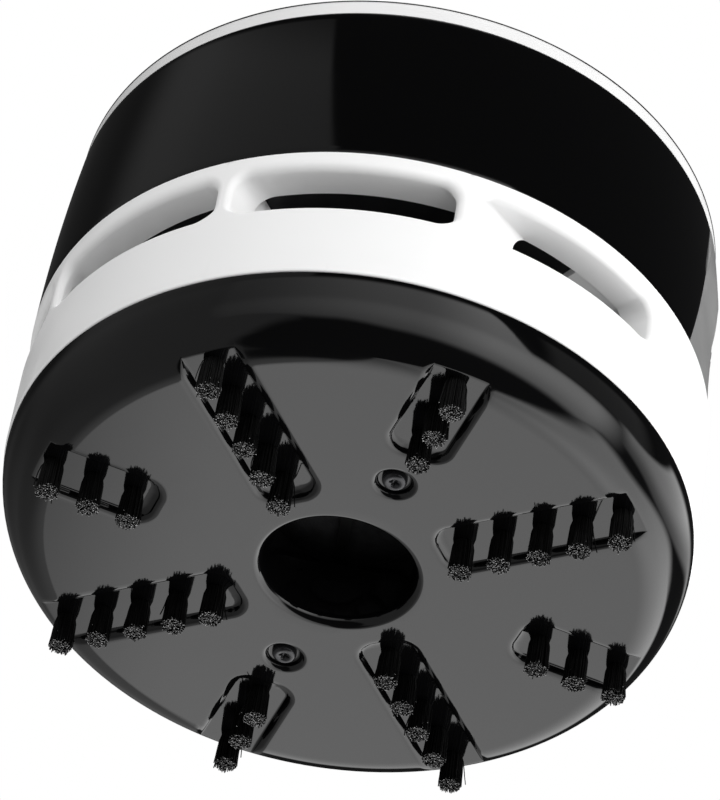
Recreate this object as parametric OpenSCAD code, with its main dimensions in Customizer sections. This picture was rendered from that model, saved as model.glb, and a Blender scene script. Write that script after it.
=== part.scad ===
// Desktop mini vacuum cleaner, standing on its bristles.
// Origin at the middle of the bristle tips, +Z up, the switch panel faces -Y. Millimetres.
// From below: brush plate, dust cup, vent ring round the fan, then the barrel with motor and cells.

/* [Body] */
// Outer diameter at the vent ring
body_d = 85; // [84:1:110]
// Height of the black dish, from its flat underside to the seam
dish_h = 8.8; // [8:0.1:12]
// Height of the white vent ring
ring_h = 20; // [19.5:0.5:30]
// Height of the black band round the barrel
band_h = 26; // [26:0.5:40]
// Height of the white rim over the band
rim_h = 2.55; // [2.4:0.05:4]
// Radius of the barrel's side curve
barrel_curve_r = 282; // [200:1:600]
// Wall of the vent ring
ring_t = 2; // [1.6:0.1:2.4]
// Wall of the barrel
shell_t = 1.8; // [1.2:0.1:2.2]
// Thickness of the black band
band_t = 0.6; // [0.4:0.1:1]

/* [Brush plate] */
// Wall of the black dish
dish_t = 1.8; // [1.5:0.1:2.2]
// Radial width of the dish's rounded shoulder
shoulder_w = 6.4; // [5.4:0.1:7.5]
// Radius of the shoulder's lower arc
shoulder_r = 5; // [3:0.1:5.2]
// Radius of the suction tube
mouth_r = 9.3; // [7:0.1:11]
// Radius of the mouth's flared edge
lip_r = 10.1; // [8:0.1:12]
// Height of the flare
lip_h = 1.5; // [0.5:0.1:2]
// Wall of the suction tube
tube_t = 1.6; // [1:0.1:2]
// Length of the suction tube, from the underside
tube_h = 9.6; // [8:0.1:11]

/* [Bristles] */
// Length of a tuft, from the trough's floor to the cut tips
tuft_len = 4.85; // [3:0.05:8]
// Distance between tufts in a row
tuft_pitch = 5.11; // [4:0.01:6]
// Distance of the outermost tuft from the axis
last_tuft_r = 36.84; // [30:0.1:36.9]
// Radius of a tuft at its root
tuft_r = 1.15; // [0.8:0.05:1.6]
// How much wider a tuft is at its tip
tuft_splay = 1.2; // [1:0.05:1.4]
// Radius of one strand
strand_r = 0.23; // [0.15:0.01:0.25]
// Depth of the troughs
trough_depth = 0.85; // [0.4:0.05:1]
// Width of the troughs
trough_w = 7; // [5:0.1:8]

/* [Vent ring] */
// Number of exhaust slots
slot_count = 7; // [3:1:7]
// Angle from one slot to the next
slot_step = 40; // [30:1:40]
// Angle that a slot spans
slot_span = 37; // [20:1:37]
// Height of a slot
slot_h = 7; // [5:0.1:8]
// Height of the slots over the seam
slot_rise = 10.6; // [10.6:0.1:14]
// Radial depth of the slots
slot_depth = 4.5; // [4:0.1:6.5]
// Corner radius of the slots
slot_corner = 2.4; // [1:0.1:2.4]
// Angle from the back to each of the two mould slides that cut the slots
slide_turn = 50; // [40:1:55]

/* [Switch] */
// Half angle of the panel at the foot of the band
panel_foot_deg = 28.8; // [24:0.1:34]
// Half angle of the panel at the top of the band
panel_top_deg = 20; // [16:0.1:24]
// Travel of the switch
switch_travel = 4; // [2:0.1:5]
// Width of the switch knob
knob_w = 9.6; // [6:0.1:12]
// Height of the switch knob
knob_h = 8; // [6:0.1:9]

/* [Fan, motor and cells] */
// Radius of the impeller
impeller_r = 30.6; // [24:0.1:31]
// Number of blades
blade_count = 11; // [5:1:15]
// Thickness of a blade
blade_t = 1; // [0.6:0.1:1.4]
// Radius of the intake hole
intake_r = 13; // [9:0.1:14]
// Radius of the motor shaft
shaft_r = 1; // [0.8:0.05:1.6]
// Width of the motor over its round sides
motor_w = 20.1; // [16:0.1:22]
// Width of the motor over its flats
motor_flat_w = 15.1; // [12:0.1:15.5]
// Length of the motor's can
can_h = 20.6; // [16:0.1:20.8]
// Height of the motor's end cap
cap_h = 4.4; // [3:0.1:4.6]
// Diameter of a cell
cell_d = 14.2; // [10:0.1:14.5]
// Length of a cell with its nub
cell_l = 50.5; // [44:0.1:51]
// Distance of each cell from the middle plane
cell_y = 17; // [16.8:0.1:18]

/* [Clearances] */
// Gap between the dish and the vent ring at the seam
seam_gap = 0.15; // [0.1:0.05:0.3]
// Gap round the cup where it turns in the ring
turn_gap = 0.4; // [0.3:0.05:0.6]
// Gap under the bayonet lugs
lug_gap = 0.15; // [0.1:0.05:0.3]
// Gap round pieces that are dropped into place
drop_gap = 0.15; // [0.1:0.05:0.3]
// Gap round the shaft in its bearings
bearing_gap = 0.04; // [0.02:0.01:0.08]
// Gap between a screw's thread and its hole
thread_gap = 0.03; // [0.02:0.01:0.08]

/* [Hidden] */
$fn = 96;
eps = 0.01;

body_r = body_d / 2;

// Levels, from the bristle tips upwards
plate_z = tuft_len - trough_depth;
seam_z = plate_z + dish_h;
slot_z = seam_z + slot_rise;
band_z = seam_z + ring_h;
rim_z = band_z + band_h;
rim_top_z = rim_z + rim_h;
cover_proud = 0.25;
top_z = rim_top_z + cover_proud;

// Brush plate
dish_step = 0.15;
dish_r = body_r - dish_step;
flat_r = dish_r - shoulder_w;
wall_arc_r = (pow(shoulder_w, 2) + pow(dish_h, 2) - 2 * dish_h * shoulder_r) / (2 * (shoulder_w - shoulder_r));
join_deg = atan2(shoulder_r - dish_h, wall_arc_r - shoulder_w);
arc_steps = 6;
tube_or = mouth_r + tube_t;
tube_top_z = plate_z + tube_h;
trough_end = 2.9;
trough_corner = 2.4;
strip_t = 0.9;
strip_w = 4.4;
strip_margin = 1.6;
boss_side = 1.2;
boss_end_r = flat_r + 3.2;

// Rows of tufts: the number of tufts and the angle of each row
long_row = 5;
short_row = 3;
long_row_deg = 60;
short_row_deg = 15;
row_count = 8;
strands = 12;
strand_uneven = 0.5;
golden_deg = 137.508;

// Screws: thread radius, head radius and head height
plate_screw = [1.0, 1.55, 0.9];
deck_screw = [0.9, 1.7, 1.3];
motor_screw = [0.8, 1.4, 0.9];
plate_screw_r = 18.1;
plate_screw_deg = [15, 195];
dimple_r = 2.1;
dimple_depth = 1;

// Dust cup
cup_floor_z = plate_z + 3;
cup_floor_t = 1.2;
cup_t = 1.5;
lug_reach = 1.7;
ledge_overlap = 1.3;
cup_r = body_r - ring_t - turn_gap - lug_reach - 0.4;
cup_collar_h = 4;
cup_rib_count = 8;
cup_rib_t = 1;
cup_rib_h = 1.2;
lug_count = 3;
lug_deg = 14;
lug_t = 2.2;
lug_z = seam_z + 3;
ledge_t = 1.5;
unlock_deg = 25;
stop_deg = 3;
stop_gap_deg = 1;
intake_t = 1;
flange_t = 1.5;
flange_z = slot_z - flange_t;
intake_z = flange_z - intake_t;
seal_h = 1.5;
seal_gap = 0.15;
cup_top_z = intake_z - seal_gap - seal_h;
filter_ledge_w = 1.5;
filter_ledge_t = 1;
filter_h = 2.2;
filter_z = cup_top_z - filter_h;
filter_rim_w = 2.8;
filter_spoke_w = 1.4;
filter_spoke_t = 1.1;
filter_hub_r = 5;
filter_t = 0.8;
filter_r = cup_r - cup_t - drop_gap;

// Vent ring and fan chamber
ring_ir = body_r - ring_t;
slot_ir = body_r - slot_depth;
slot_end_step = 0.02;
slide_limit = 60;
slot_arc_steps = 12;
first_slot_deg = 90 - slot_step * (slot_count - 1) / 2;
vented_deg = slot_step * (slot_count - 1) + slot_span + 2 * (slot_step - slot_span);
ceiling_z = slot_z + slot_h;
deck_z = ceiling_z + flange_t;
deck_t = 1.5;
deck_top_z = deck_z + deck_t;
post_r = 2.2;
post_root_r = slot_ir - post_r + 0.3;
post_at_r = min(post_root_r, cup_r - cup_t - deck_screw[1] - 0.2);
post_deg = [30, 150, 270];
post_hole_depth = 4.6;
post_step = 0.2;
ear_t = 2;
bay_ceiling_deg = 55;
bay_wall_t = 1.2;
bay_ceiling_w = 3.6;
edge_cut = 0.3;

// Impeller and motor
blade_inner_r = intake_r + 1.8;
blade_curve_r = 20;
blade_centre_r = 19;
blade_h = 6.4;
impeller_disc_t = 1.2;
impeller_top_z = deck_z - 1.8;
impeller_disc_z = impeller_top_z - impeller_disc_t;
blade_z = impeller_disc_z - blade_h;
hub_r = 4.5;
shaft_z = blade_z + 0.5;
motor_z = deck_top_z;
cap_z = motor_z + can_h;
motor_top_z = cap_z + cap_h;
bearing_r = 3;
bearing_h = 1.4;
bearing_top_h = 0.8;
motor_screw_x = 6.4;
terminal_t = 0.4;

// Cells and their tray
tray_floor_z = deck_top_z + 7.9;
tray_t = 1.2;
cell_r = cell_d / 2;
cell_z = tray_floor_z + tray_t + cell_r + drop_gap;
nub_r = 2.75;
nub_h = 1.2;
contact_t = 0.4;
spring_h = 4.3;
bay_l = cell_l + spring_h + 2 * contact_t;
tray_end_t = 1.4;
tray_r = body_r - ring_t - 1.6;
tray_foot_x = 19;
tray_foot_r = 2.6;
contact_w = 9;
contact_top = 4;
spring_wire_r = 0.25;
spring_turns = 4;
spring_foot_r = 4.6;
spring_tip_r = 2.6;

// Barrel, rim and cover
spigot_or = ring_ir - drop_gap;
spigot_ir = spigot_or - 1.4;
rim_seat_r = barrel_r(rim_top_z) - 0.75;
rim_ir = rim_seat_r - 1.5;
seat_z = rim_top_z - 0.75;
cover_gap = 0.05;
cover_lip_z = seat_z + cover_gap;
cover_t = 1.6;
cover_skirt_t = 1.4;
cover_skirt_h = 2.6;
cover_notch_d = 1.4;

// Switch
switch_wall_y = -(body_r - 2.9);
switch_wall_t = 1.8;
switch_z = band_z + 10.7;
well_margin = 1.5;
well_w = knob_w + 2 * well_margin + 1;
knob_reach = 1.9;
knob_lift = 0.1;
stem_w = 3;
stem_l = 4;
stem_side = 0.2;
switch_box = [6.2, 5.2, 13];
pin_pitch = 3.2;

// Wires
wire_r = 0.6;
wire_sides = 8;
wire_steps = 3;
pin_side = 1.3;
wire_notch = [5.6, 5, 12];

function barrel_r(z) =
    body_r - barrel_curve_r + sqrt(pow(barrel_curve_r, 2) - pow(z - band_z, 2));

// The dish's curve, from its flat underside up to the seam, moved inwards by inset
function dish_curve(inset) = concat(
    [for (i = [0:arc_steps]) let (a = -90 + i * (join_deg + 90) / arc_steps)
        [flat_r + (shoulder_r - inset) * cos(a), plate_z + shoulder_r + (shoulder_r - inset) * sin(a)]],
    [for (i = [1:arc_steps]) let (a = join_deg * (1 - i / arc_steps))
        [dish_r - wall_arc_r + (wall_arc_r - inset) * cos(a), seam_z + (wall_arc_r - inset) * sin(a)]]
);

function reversed(list) = [for (i = [len(list) - 1:-1:0]) list[i]];

// The barrel's side curve between two levels, moved inwards by inset
function barrel_curve(z0, z1, inset) =
    [for (i = [0:arc_steps]) let (z = z0 + i * (z1 - z0) / arc_steps) [barrel_r(z) - inset, z]];

function row_is_long(i) = i <= row_count / 2;
function row_deg(i) = row_is_long(i) ? long_row_deg + 90 * (i - 1) : short_row_deg + 90 * (i - 5);
function row_tufts(i) = row_is_long(i) ? long_row : short_row;
function row_start_r(i) = last_tuft_r - (row_tufts(i) - 1) * tuft_pitch;

function unit(v) = v / norm(v);
function tangent(p, i) = unit(p[min(i + 1, len(p) - 1)] - p[max(i - 1, 0)]);
function square_to(side, t) = unit(side - t * (side * t));
// One side direction for each point, carried along so that a tube doesn't twist
function carried(p, side, i = 0) =
    i == len(p) ? [] :
    let (s = square_to(side, tangent(p, i))) concat([s], carried(p, s, i + 1));
// A smooth curve through points
function curve(p, steps) = concat(
    [for (i = [0:len(p) - 2], k = [0:steps - 1])
        let (a = p[max(i - 1, 0)], b = p[i], c = p[i + 1], d = p[min(i + 2, len(p) - 1)], t = k / steps)
        0.5 * (2 * b + (c - a) * t + (2 * a - 5 * b + 4 * c - d) * pow(t, 2)
            + (3 * b - a - 3 * c + d) * pow(t, 3))],
    [p[len(p) - 1]]
);

// A tube along a list of points
module tube(p, r, sides, first_side) {
    side = carried(p, first_side);
    n = len(p);
    points = [for (i = [0:n - 1], k = [0:sides - 1])
        let (s = side[i], u = cross(tangent(p, i), s), a = 360 * k / sides)
        p[i] + r * (cos(a) * s + sin(a) * u)];
    walls = [for (i = [0:n - 2], k = [0:sides - 1])
        let (a = i * sides + k, b = i * sides + (k + 1) % sides)
        each [[a, b + sides, b], [a, a + sides, b + sides]]];
    foot = [for (k = [1:sides - 2]) [0, k, k + 1]];
    far = (n - 1) * sides;
    head = [for (k = [1:sides - 2]) [far, far + k + 1, far + k]];
    polyhedron(points, concat(walls, foot, head));
}

// A pan head screw: its head's underside at z = 0, the shank upwards
module screw(size, shank_l) {
    thread_r = size[0];
    head_r = size[1];
    head_h = size[2];
    cylinder(r = thread_r, h = shank_l);
    difference() {
        rotate_extrude()
            polygon(concat([[0, 0]], [for (a = [0:15:90]) [head_r * cos(a), -head_h * pow(sin(a), 0.7)]]));
        for (a = [0, 90]) rotate(a)
            translate([-head_r * 0.6, -head_r * 0.14, -head_h - eps])
                cube([head_r * 1.2, head_r * 0.28, head_h * 0.55]);
    }
}

// A ring between two radii and two levels
module ring(r0, r1, z0, z1) {
    translate([0, 0, z0]) difference() {
        cylinder(r = r1, h = z1 - z0);
        translate([0, 0, -1]) cylinder(r = r0, h = z1 - z0 + 2);
    }
}

// Part of a ring, between two angles
module sector(r0, r1, z0, z1, a0, a1) {
    rotate(a0) rotate_extrude(angle = a1 - a0)
        translate([r0, z0]) square([r1 - r0, z1 - z0]);
}

module rounded_rect(w, h, corner) {
    square([w - 2 * corner, h], center = true);
    square([w, h - 2 * corner], center = true);
    for (x = [-1, 1], y = [-1, 1]) translate([x * (w / 2 - corner), y * (h / 2 - corner)]) circle(r = corner);
}

// The outline of a row's trough, pad or strip along +X
module row_outline(x0, x1, w, corner) {
    translate([x0 + corner, -w / 2]) square([x1 - x0 - corner, w]);
    translate([x0, corner - w / 2]) square([corner + eps, w - 2 * corner]);
    for (s = [-1, 1]) translate([x0 + corner, s * (w / 2 - corner)]) circle(r = corner);
}

// The backing strip of a row, grown by gap
module row_strip(i, gap) {
    x0 = row_start_r(i) - strip_margin;
    x1 = last_tuft_r + strip_margin;
    translate([0, 0, tuft_len]) linear_extrude(strip_t + gap)
        translate([x0 - gap, -strip_w / 2 - gap]) square([x1 - x0 + 2 * gap, strip_w + 2 * gap]);
}

module dish_body() {
    rotate_extrude() polygon(concat(
        [[mouth_r + tube_t / 2, plate_z]], dish_curve(0),
        reversed(dish_curve(dish_t)), [[mouth_r + tube_t / 2, plate_z + dish_t]]
    ));
    ring(mouth_r, tube_or, plate_z, tube_top_z);
    for (i = [1:row_count]) rotate(row_deg(i))
        translate([0, 0, plate_z + dish_t - 0.2]) linear_extrude(cup_floor_z - plate_z - dish_t + 0.2)
            row_outline(row_start_r(i) - trough_end - boss_side, boss_end_r,
                trough_w + 2 * boss_side, trough_corner);
    for (a = plate_screw_deg) rotate(a) translate([plate_screw_r, 0, plate_z + dish_t - 0.2])
        cylinder(r = dimple_r + 1.2, h = cup_floor_z - plate_z - dish_t + 0.2);
}

// Black dish with the suction tube, the troughs for the tufts and the two screw dimples
module brush_plate() {
    color("#1b1b1d") difference() {
        dish_body();
        translate([0, 0, plate_z - eps])
            cylinder(r1 = lip_r + eps, r2 = mouth_r, h = lip_h);
        for (i = [1:row_count]) rotate(row_deg(i)) {
            translate([0, 0, plate_z - 1]) linear_extrude(trough_depth + 1)
                row_outline(row_start_r(i) - trough_end, body_r + 5, trough_w, trough_corner);
            row_strip(i, 0);
        }
        for (a = plate_screw_deg) rotate(a) translate([plate_screw_r, 0, plate_z]) {
            translate([0, 0, -1]) cylinder(r = dimple_r, h = dimple_depth + 1);
            cylinder(r = plate_screw[0] + drop_gap, h = 10);
        }
    }
}

// One tuft: strands that spread a little towards their cut tips
module tuft(turn) {
    nominal_l = tuft_len + strand_uneven;
    for (k = [0:strands - 1]) {
        root_r = tuft_r * sqrt((k + 0.5) / strands);
        lean = atan(root_r * (tuft_splay - 1) / tuft_len);
        rotate(turn + k * golden_deg) translate([root_r, 0, tuft_len + strip_t / 2])
            rotate([0, 180 - lean, 0]) cylinder(r = strand_r, h = nominal_l + strip_t / 2, $fn = 3);
    }
}

// One row of tufts on its backing strip, cut flat at the tips
module brush_row(i) {
    color("#0c0c0c") rotate(row_deg(i)) difference() {
        union() {
            row_strip(i, 0);
            for (t = [0:row_tufts(i) - 1])
                translate([row_start_r(i) + t * tuft_pitch, 0, 0]) tuft(47 * t + 20 * i);
        }
        translate([0, -body_r, -5]) cube([2 * body_r, 2 * body_r, 5]);
    }
}

// Two screws that hold the dish to the cup's posts
module plate_screws() {
    color("#8c8c90") for (a = plate_screw_deg) rotate(a)
        translate([plate_screw_r, 0, plate_z + dimple_depth]) screw(plate_screw, 6.6);
}

// Ring-shaped cup round the suction tube, with a rib star, screw posts and bayonet lugs
module dust_cup() {
    inner = tube_or + drop_gap;
    cup_ir = cup_r - cup_t;
    floor_top = cup_floor_z + cup_floor_t;
    color("#2a2a2c") difference() {
        union() {
            rotate_extrude() polygon([
                [inner, cup_floor_z], [cup_r - 1, cup_floor_z], [cup_r, cup_floor_z + 1],
                [cup_r, cup_top_z], [cup_ir, cup_top_z], [cup_ir, filter_z],
                [cup_ir - filter_ledge_w, filter_z],
                [cup_ir - filter_ledge_w, filter_z - filter_ledge_t],
                [cup_ir, filter_z - filter_ledge_t - filter_ledge_w],
                [cup_ir, floor_top + 1], [cup_ir - 1, floor_top],
                [inner + cup_t, floor_top], [inner + cup_t, cup_floor_z + cup_collar_h],
                [inner, cup_floor_z + cup_collar_h]
            ]);
            for (k = [0:cup_rib_count - 1]) rotate(k * 360 / cup_rib_count + 37.5)
                translate([inner + cup_t / 2, -cup_rib_t / 2, floor_top - eps])
                    cube([cup_ir - inner - cup_t / 2 - 0.5, cup_rib_t, cup_rib_h]);
            for (a = plate_screw_deg) rotate(a) translate([plate_screw_r, 0, cup_floor_z])
                cylinder(r = 2.5, h = 5.6);
            for (k = [0:lug_count - 1]) rotate(90 + k * 360 / lug_count)
                sector(cup_r - 0.3, cup_r + lug_reach, lug_z, lug_z + lug_t, -lug_deg / 2, lug_deg / 2);
        }
        for (a = plate_screw_deg) rotate(a) translate([plate_screw_r, 0, cup_floor_z - 1])
            cylinder(r = plate_screw[0] + thread_gap, h = 5.9);
    }
}

// Rubber ring with a thin lip, on the cup's top edge
module cup_seal() {
    r0 = cup_r - cup_t;
    color("#3a3a3a") rotate_extrude() polygon([
        [r0, cup_top_z], [cup_r, cup_top_z], [cup_r, cup_top_z + 0.8],
        [cup_r - 0.5, cup_top_z + seal_h], [cup_r - 0.9, cup_top_z + seal_h], [r0, cup_top_z + 0.8]
    ]);
}

// Spoked frame that drops into the cup's mouth
module filter_frame() {
    color("#e9e9e6") {
        ring(filter_r - filter_rim_w, filter_r, filter_z, cup_top_z - 0.1);
        difference() {
            union() {
                translate([0, 0, filter_z]) cylinder(r = filter_hub_r, h = filter_spoke_t);
                for (k = [0:5]) rotate(k * 60) translate([0, -filter_spoke_w / 2, filter_z])
                    cube([filter_r - filter_rim_w / 2, filter_spoke_w, filter_spoke_t]);
                ring(filter_r / 2 - 0.7, filter_r / 2 + 0.7, filter_z, filter_z + filter_spoke_t);
            }
            translate([0, 0, filter_z - 1]) cylinder(r = filter_hub_r - 1.6, h = filter_spoke_t + 2);
        }
    }
}

// Filter cloth on the spokes
module filter_disc() {
    color("#f4f4f2") translate([0, 0, filter_z + filter_spoke_t])
        cylinder(r = filter_r - filter_rim_w - drop_gap, h = filter_t);
}

// Angle of a slot's end wall: along the mould slide on its side, or radial where that only grazes
function end_deg(a) = let (slide = 90 + (a < 90 ? -slide_turn : slide_turn))
    abs(a - slide) > slide_limit ? a : slide;

// Point in plan on a line along a slot's end wall, q from the axis and u along it
function wall_point(d, q, u) = [u * cos(d) - q * sin(d), u * sin(d) + q * cos(d)];

// Angle of a point in plan, counted on from a slot's own angle
function deg_near(p, deg) = deg + atan2(p[1] * cos(deg) - p[0] * sin(deg), p[0] * cos(deg) + p[1] * sin(deg));

function plan_arc(r, from, to) = [for (k = [1:slot_arc_steps - 1])
    let (a = from + (to - from) * k / slot_arc_steps) [r * cos(a), r * sin(a)]];

// One exhaust slot, as the space to cut out: a middle in plan, and two rounded ends along the slides
module slot_space(deg) {
    inner_r = slot_ir - 0.8;
    half_w = slot_corner + 0.2;
    ends = [for (s = [1, -1]) let (a = deg - s * slot_span / 2, d = end_deg(a), wall_q = body_r * sin(a - d),
        mid_q = wall_q + s * half_w,
        out_u = max(body_r * cos(a - d) + 2, sqrt(pow(body_r + 1, 2) - pow(mid_q, 2))))
        [d, mid_q, out_u, sqrt(pow(inner_r, 2) - pow(mid_q, 2)), sqrt(pow(inner_r, 2) - pow(wall_q, 2))]];
    outer = [for (e = ends) wall_point(e[0], e[1], e[2])];
    inner = [for (e = ends) wall_point(e[0], e[1], e[3])];
    translate([0, 0, slot_z]) linear_extrude(slot_h) polygon(concat(
        [inner[0], outer[0]], plan_arc(body_r + 1.5, deg_near(outer[0], deg), deg_near(outer[1], deg)),
        [outer[1], inner[1]], plan_arc(inner_r, deg_near(inner[1], deg), deg_near(inner[0], deg))
    ));
    for (e = ends) let (from = min(e[3], e[4])) rotate(e[0]) translate([from, e[1], slot_z + slot_h / 2])
        rotate([90, 0, 90]) linear_extrude(e[2] - from)
            rounded_rect(2 * half_w, slot_h - 2 * slot_end_step, slot_corner);
}

// Ledges that carry the cup's lugs, each with a stop at both ends of the turn
module bayonet() {
    ledge_ir = cup_r + lug_reach - ledge_overlap;
    stop_ir = ledge_ir + 0.2;
    root_r = ring_ir + 0.5;
    half = lug_deg / 2;
    ledge_z = lug_z - lug_gap - ledge_t;
    for (k = [0:lug_count - 1]) rotate(90 + k * 360 / lug_count) {
        sector(ledge_ir, root_r, ledge_z, ledge_z + ledge_t, -half - stop_gap_deg - 1, half + 2);
        sector(stop_ir, root_r, ledge_z - 0.3, lug_z + lug_t,
            -half - stop_gap_deg - stop_deg, -half - stop_gap_deg);
        sector(stop_ir, root_r, ledge_z - 0.3, lug_z + lug_t,
            half + unlock_deg + stop_gap_deg, half + unlock_deg + stop_gap_deg + stop_deg);
    }
}

// The ring's wall with its thick band, the slots through it and the bay behind the switch panel
module slotted_wall() {
    foot_z = seam_z + seam_gap;
    bay_deg = 360 - vented_deg;
    difference() {
        rotate_extrude() polygon([
            [ring_ir, foot_z], [body_r - edge_cut, foot_z], [body_r, foot_z + edge_cut],
            [body_r, band_z], [ring_ir, band_z], [ring_ir, deck_z], [slot_ir, deck_z],
            [slot_ir, flange_z], [ring_ir, flange_z]
        ]);
        for (k = [0:slot_count - 1]) slot_space(first_slot_deg + k * slot_step);
        sector(slot_ir + bay_wall_t, ring_ir - 0.2, flange_z - 1, ceiling_z - 0.3,
            270 - bay_deg / 2, 270 + bay_deg / 2);
    }
}

// White ring round the fan: slots, screw posts, the lit ceiling by the bay and bayonet ledges
module vent_ring() {
    color("#f2f2f0") difference() {
        union() {
            slotted_wall();
            sector(slot_ir - bay_ceiling_w, slot_ir + 0.6, ceiling_z + 0.2, deck_z - 0.1,
                270 - bay_ceiling_deg, 270 + bay_ceiling_deg);
            for (a = post_deg) rotate(a) hull() for (r = [post_at_r, post_root_r])
                translate([r, 0, flange_z + post_step])
                    cylinder(r = post_r, h = deck_z - flange_z - 2 * post_step);
            bayonet();
        }
        for (a = post_deg) rotate(a) translate([post_at_r, 0, 0]) {
            translate([0, 0, flange_z - 1]) cylinder(r = deck_screw[0] + thread_gap, h = post_hole_depth + 1);
            translate([0, 0, deck_z - post_hole_depth])
                cylinder(r = deck_screw[0] + thread_gap, h = post_hole_depth + 1);
        }
    }
}

// Plate under the fan, with a guard in its intake hole
module intake_plate() {
    color("#232325") {
        difference() {
            union() {
                translate([0, 0, intake_z]) cylinder(r = ring_ir - drop_gap, h = intake_t);
                ring(intake_r - 0.2, intake_r + 1.1, intake_z, intake_z + intake_t + 0.5);
            }
            translate([0, 0, intake_z - 1]) cylinder(r = intake_r, h = 5);
            for (a = post_deg) rotate(a) translate([post_at_r, 0, intake_z - 1])
                cylinder(r = deck_screw[0] + drop_gap, h = intake_t + 2);
        }
        ring(intake_r / 2 - 0.5, intake_r / 2 + 0.5, intake_z, intake_z + intake_t);
        for (k = [0:5]) rotate(k * 60) translate([intake_r / 2, -0.5, intake_z])
            cube([intake_r / 2 + 0.5, 1, intake_t]);
    }
}

// Three screws up into the ring's posts
module intake_screws() {
    color("#8c8c90") for (a = post_deg) rotate(a)
        translate([post_at_r, 0, intake_z]) screw(deck_screw, post_hole_depth);
}

// Plate over the fan: motor socket, stiffening ribs and screw holes
module fan_deck() {
    socket_t = 1.4;
    socket_h = 3;
    rib_from = motor_w / 2 + 0.8;
    color("#1d1d1f") difference() {
        union() {
            translate([0, 0, deck_z]) cylinder(r = spigot_ir - drop_gap, h = deck_t);
            translate([0, 0, deck_z]) linear_extrude(deck_t + socket_h) motor_outline(socket_t + drop_gap);
            for (k = [0:5]) rotate(k * 60) translate([rib_from, -0.6, deck_z])
                cube([post_at_r - 8 - rib_from, 1.2, deck_t + 1.8]);
        }
        translate([0, 0, deck_top_z]) linear_extrude(10) motor_outline(drop_gap);
        translate([0, 0, deck_z - 1]) cylinder(r = bearing_r + drop_gap, h = 5);
        for (a = post_deg) rotate(a) translate([post_at_r, 0, deck_z - 1])
            cylinder(r = deck_screw[0] + drop_gap, h = 4);
        for (s = [-1, 1]) translate([s * motor_screw_x, 0, deck_z - 1])
            cylinder(r = motor_screw[0] + drop_gap, h = 4);
    }
}

// Three screws down through the barrel's ears and the deck
module deck_screws() {
    color("#8c8c90") for (a = post_deg) rotate(a)
        translate([post_at_r, 0, deck_top_z + ear_t]) rotate([180, 0, 0])
            screw(deck_screw, ear_t + deck_t + post_hole_depth - 0.3);
}

// White barrel: spigot, curved wall, ears, rim with the cover's seat, and the switch well
module upper_shell() {
    inset = band_t + shell_t;
    color("#f2f2f0") difference() {
        union() {
            rotate_extrude() polygon(concat(
                [[spigot_ir, deck_z], [spigot_or, deck_z], [spigot_or, band_z]],
                barrel_curve(band_z, rim_z, band_t),
                [[barrel_r(rim_z), rim_z], [barrel_r(rim_top_z) - 0.1, rim_top_z - edge_cut],
                [barrel_r(rim_top_z) - edge_cut, rim_top_z], [rim_seat_r, rim_top_z],
                [rim_seat_r, seat_z], [rim_ir, seat_z], [rim_ir, rim_z - 1]],
                reversed(barrel_curve(band_z + 1, rim_z - 1.5, inset))
            ));
            intersection() {
                cylinder(r = body_r - band_t - 1.5, h = rim_z);
                union() {
                    for (a = post_deg) rotate(a) translate([post_at_r - post_r, -3, deck_top_z])
                        cube([20, 6, ear_t]);
                    translate([-well_w / 2 - 1.5, -body_r, switch_z - knob_h / 2 - well_margin - 1.5])
                        cube([well_w + 3, body_r + switch_wall_y + switch_wall_t,
                            knob_h + switch_travel + 2 * well_margin + 3]);
                }
            }
        }
        for (a = post_deg) rotate(a) translate([post_at_r, 0, deck_z])
            cylinder(r = deck_screw[0] + drop_gap, h = 10);
        translate([-well_w / 2, switch_wall_y - 10, switch_z - knob_h / 2 - well_margin])
            cube([well_w, 10, knob_h + switch_travel + 2 * well_margin]);
        translate([-stem_w / 2 - stem_side, switch_wall_y - 1, switch_z - stem_w / 2 - stem_side])
            cube([stem_w + 2 * stem_side, 10, stem_w + switch_travel + 2 * stem_side]);
    }
}

// Thin black band round the barrel, open over the switch panel with slanted ends
module wrap_band() {
    foot_x = body_r * sin(panel_foot_deg);
    top_x = barrel_r(rim_z) * sin(panel_top_deg);
    slope = (foot_x - top_x) / band_h;
    color("#141416") difference() {
        rotate_extrude() polygon(concat(
            barrel_curve(band_z, rim_z, band_t), reversed(barrel_curve(band_z, rim_z, 0))
        ));
        translate([0, 0, band_z]) rotate([90, 0, 0]) linear_extrude(body_r + 5) polygon([
            [-foot_x - slope, -1], [foot_x + slope, -1],
            [top_x - slope, band_h + 1], [slope - top_x, band_h + 1]
        ]);
    }
}

// Black top cover: lip in the rim's seat, skirt inside, ribs that hold the cells down
module battery_cover() {
    skirt_r = rim_ir - 0.25;
    lip_r = rim_seat_r - drop_gap;
    cell_top = cell_z + cell_r;
    rib_z = cell_top + 0.4;
    color("#161618") difference() {
        union() {
            rotate_extrude() polygon([
                [0, top_z - cover_t], [skirt_r - cover_skirt_t, top_z - cover_t],
                [skirt_r - cover_skirt_t, cover_lip_z - cover_skirt_h],
                [skirt_r - edge_cut, cover_lip_z - cover_skirt_h],
                [skirt_r, cover_lip_z - cover_skirt_h + edge_cut], [skirt_r, cover_lip_z],
                [lip_r, cover_lip_z], [lip_r, top_z - edge_cut], [lip_r - edge_cut, top_z], [0, top_z]
            ]);
            for (s = [-1, 1]) translate([-15, s * cell_y - 0.8, rib_z])
                cube([30, 1.6, top_z - cover_t - rib_z + eps]);
        }
        translate([0, -lip_r - 20 + cover_notch_d, top_z])
            cylinder(r = 20, h = 2, center = true);
    }
}

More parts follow.
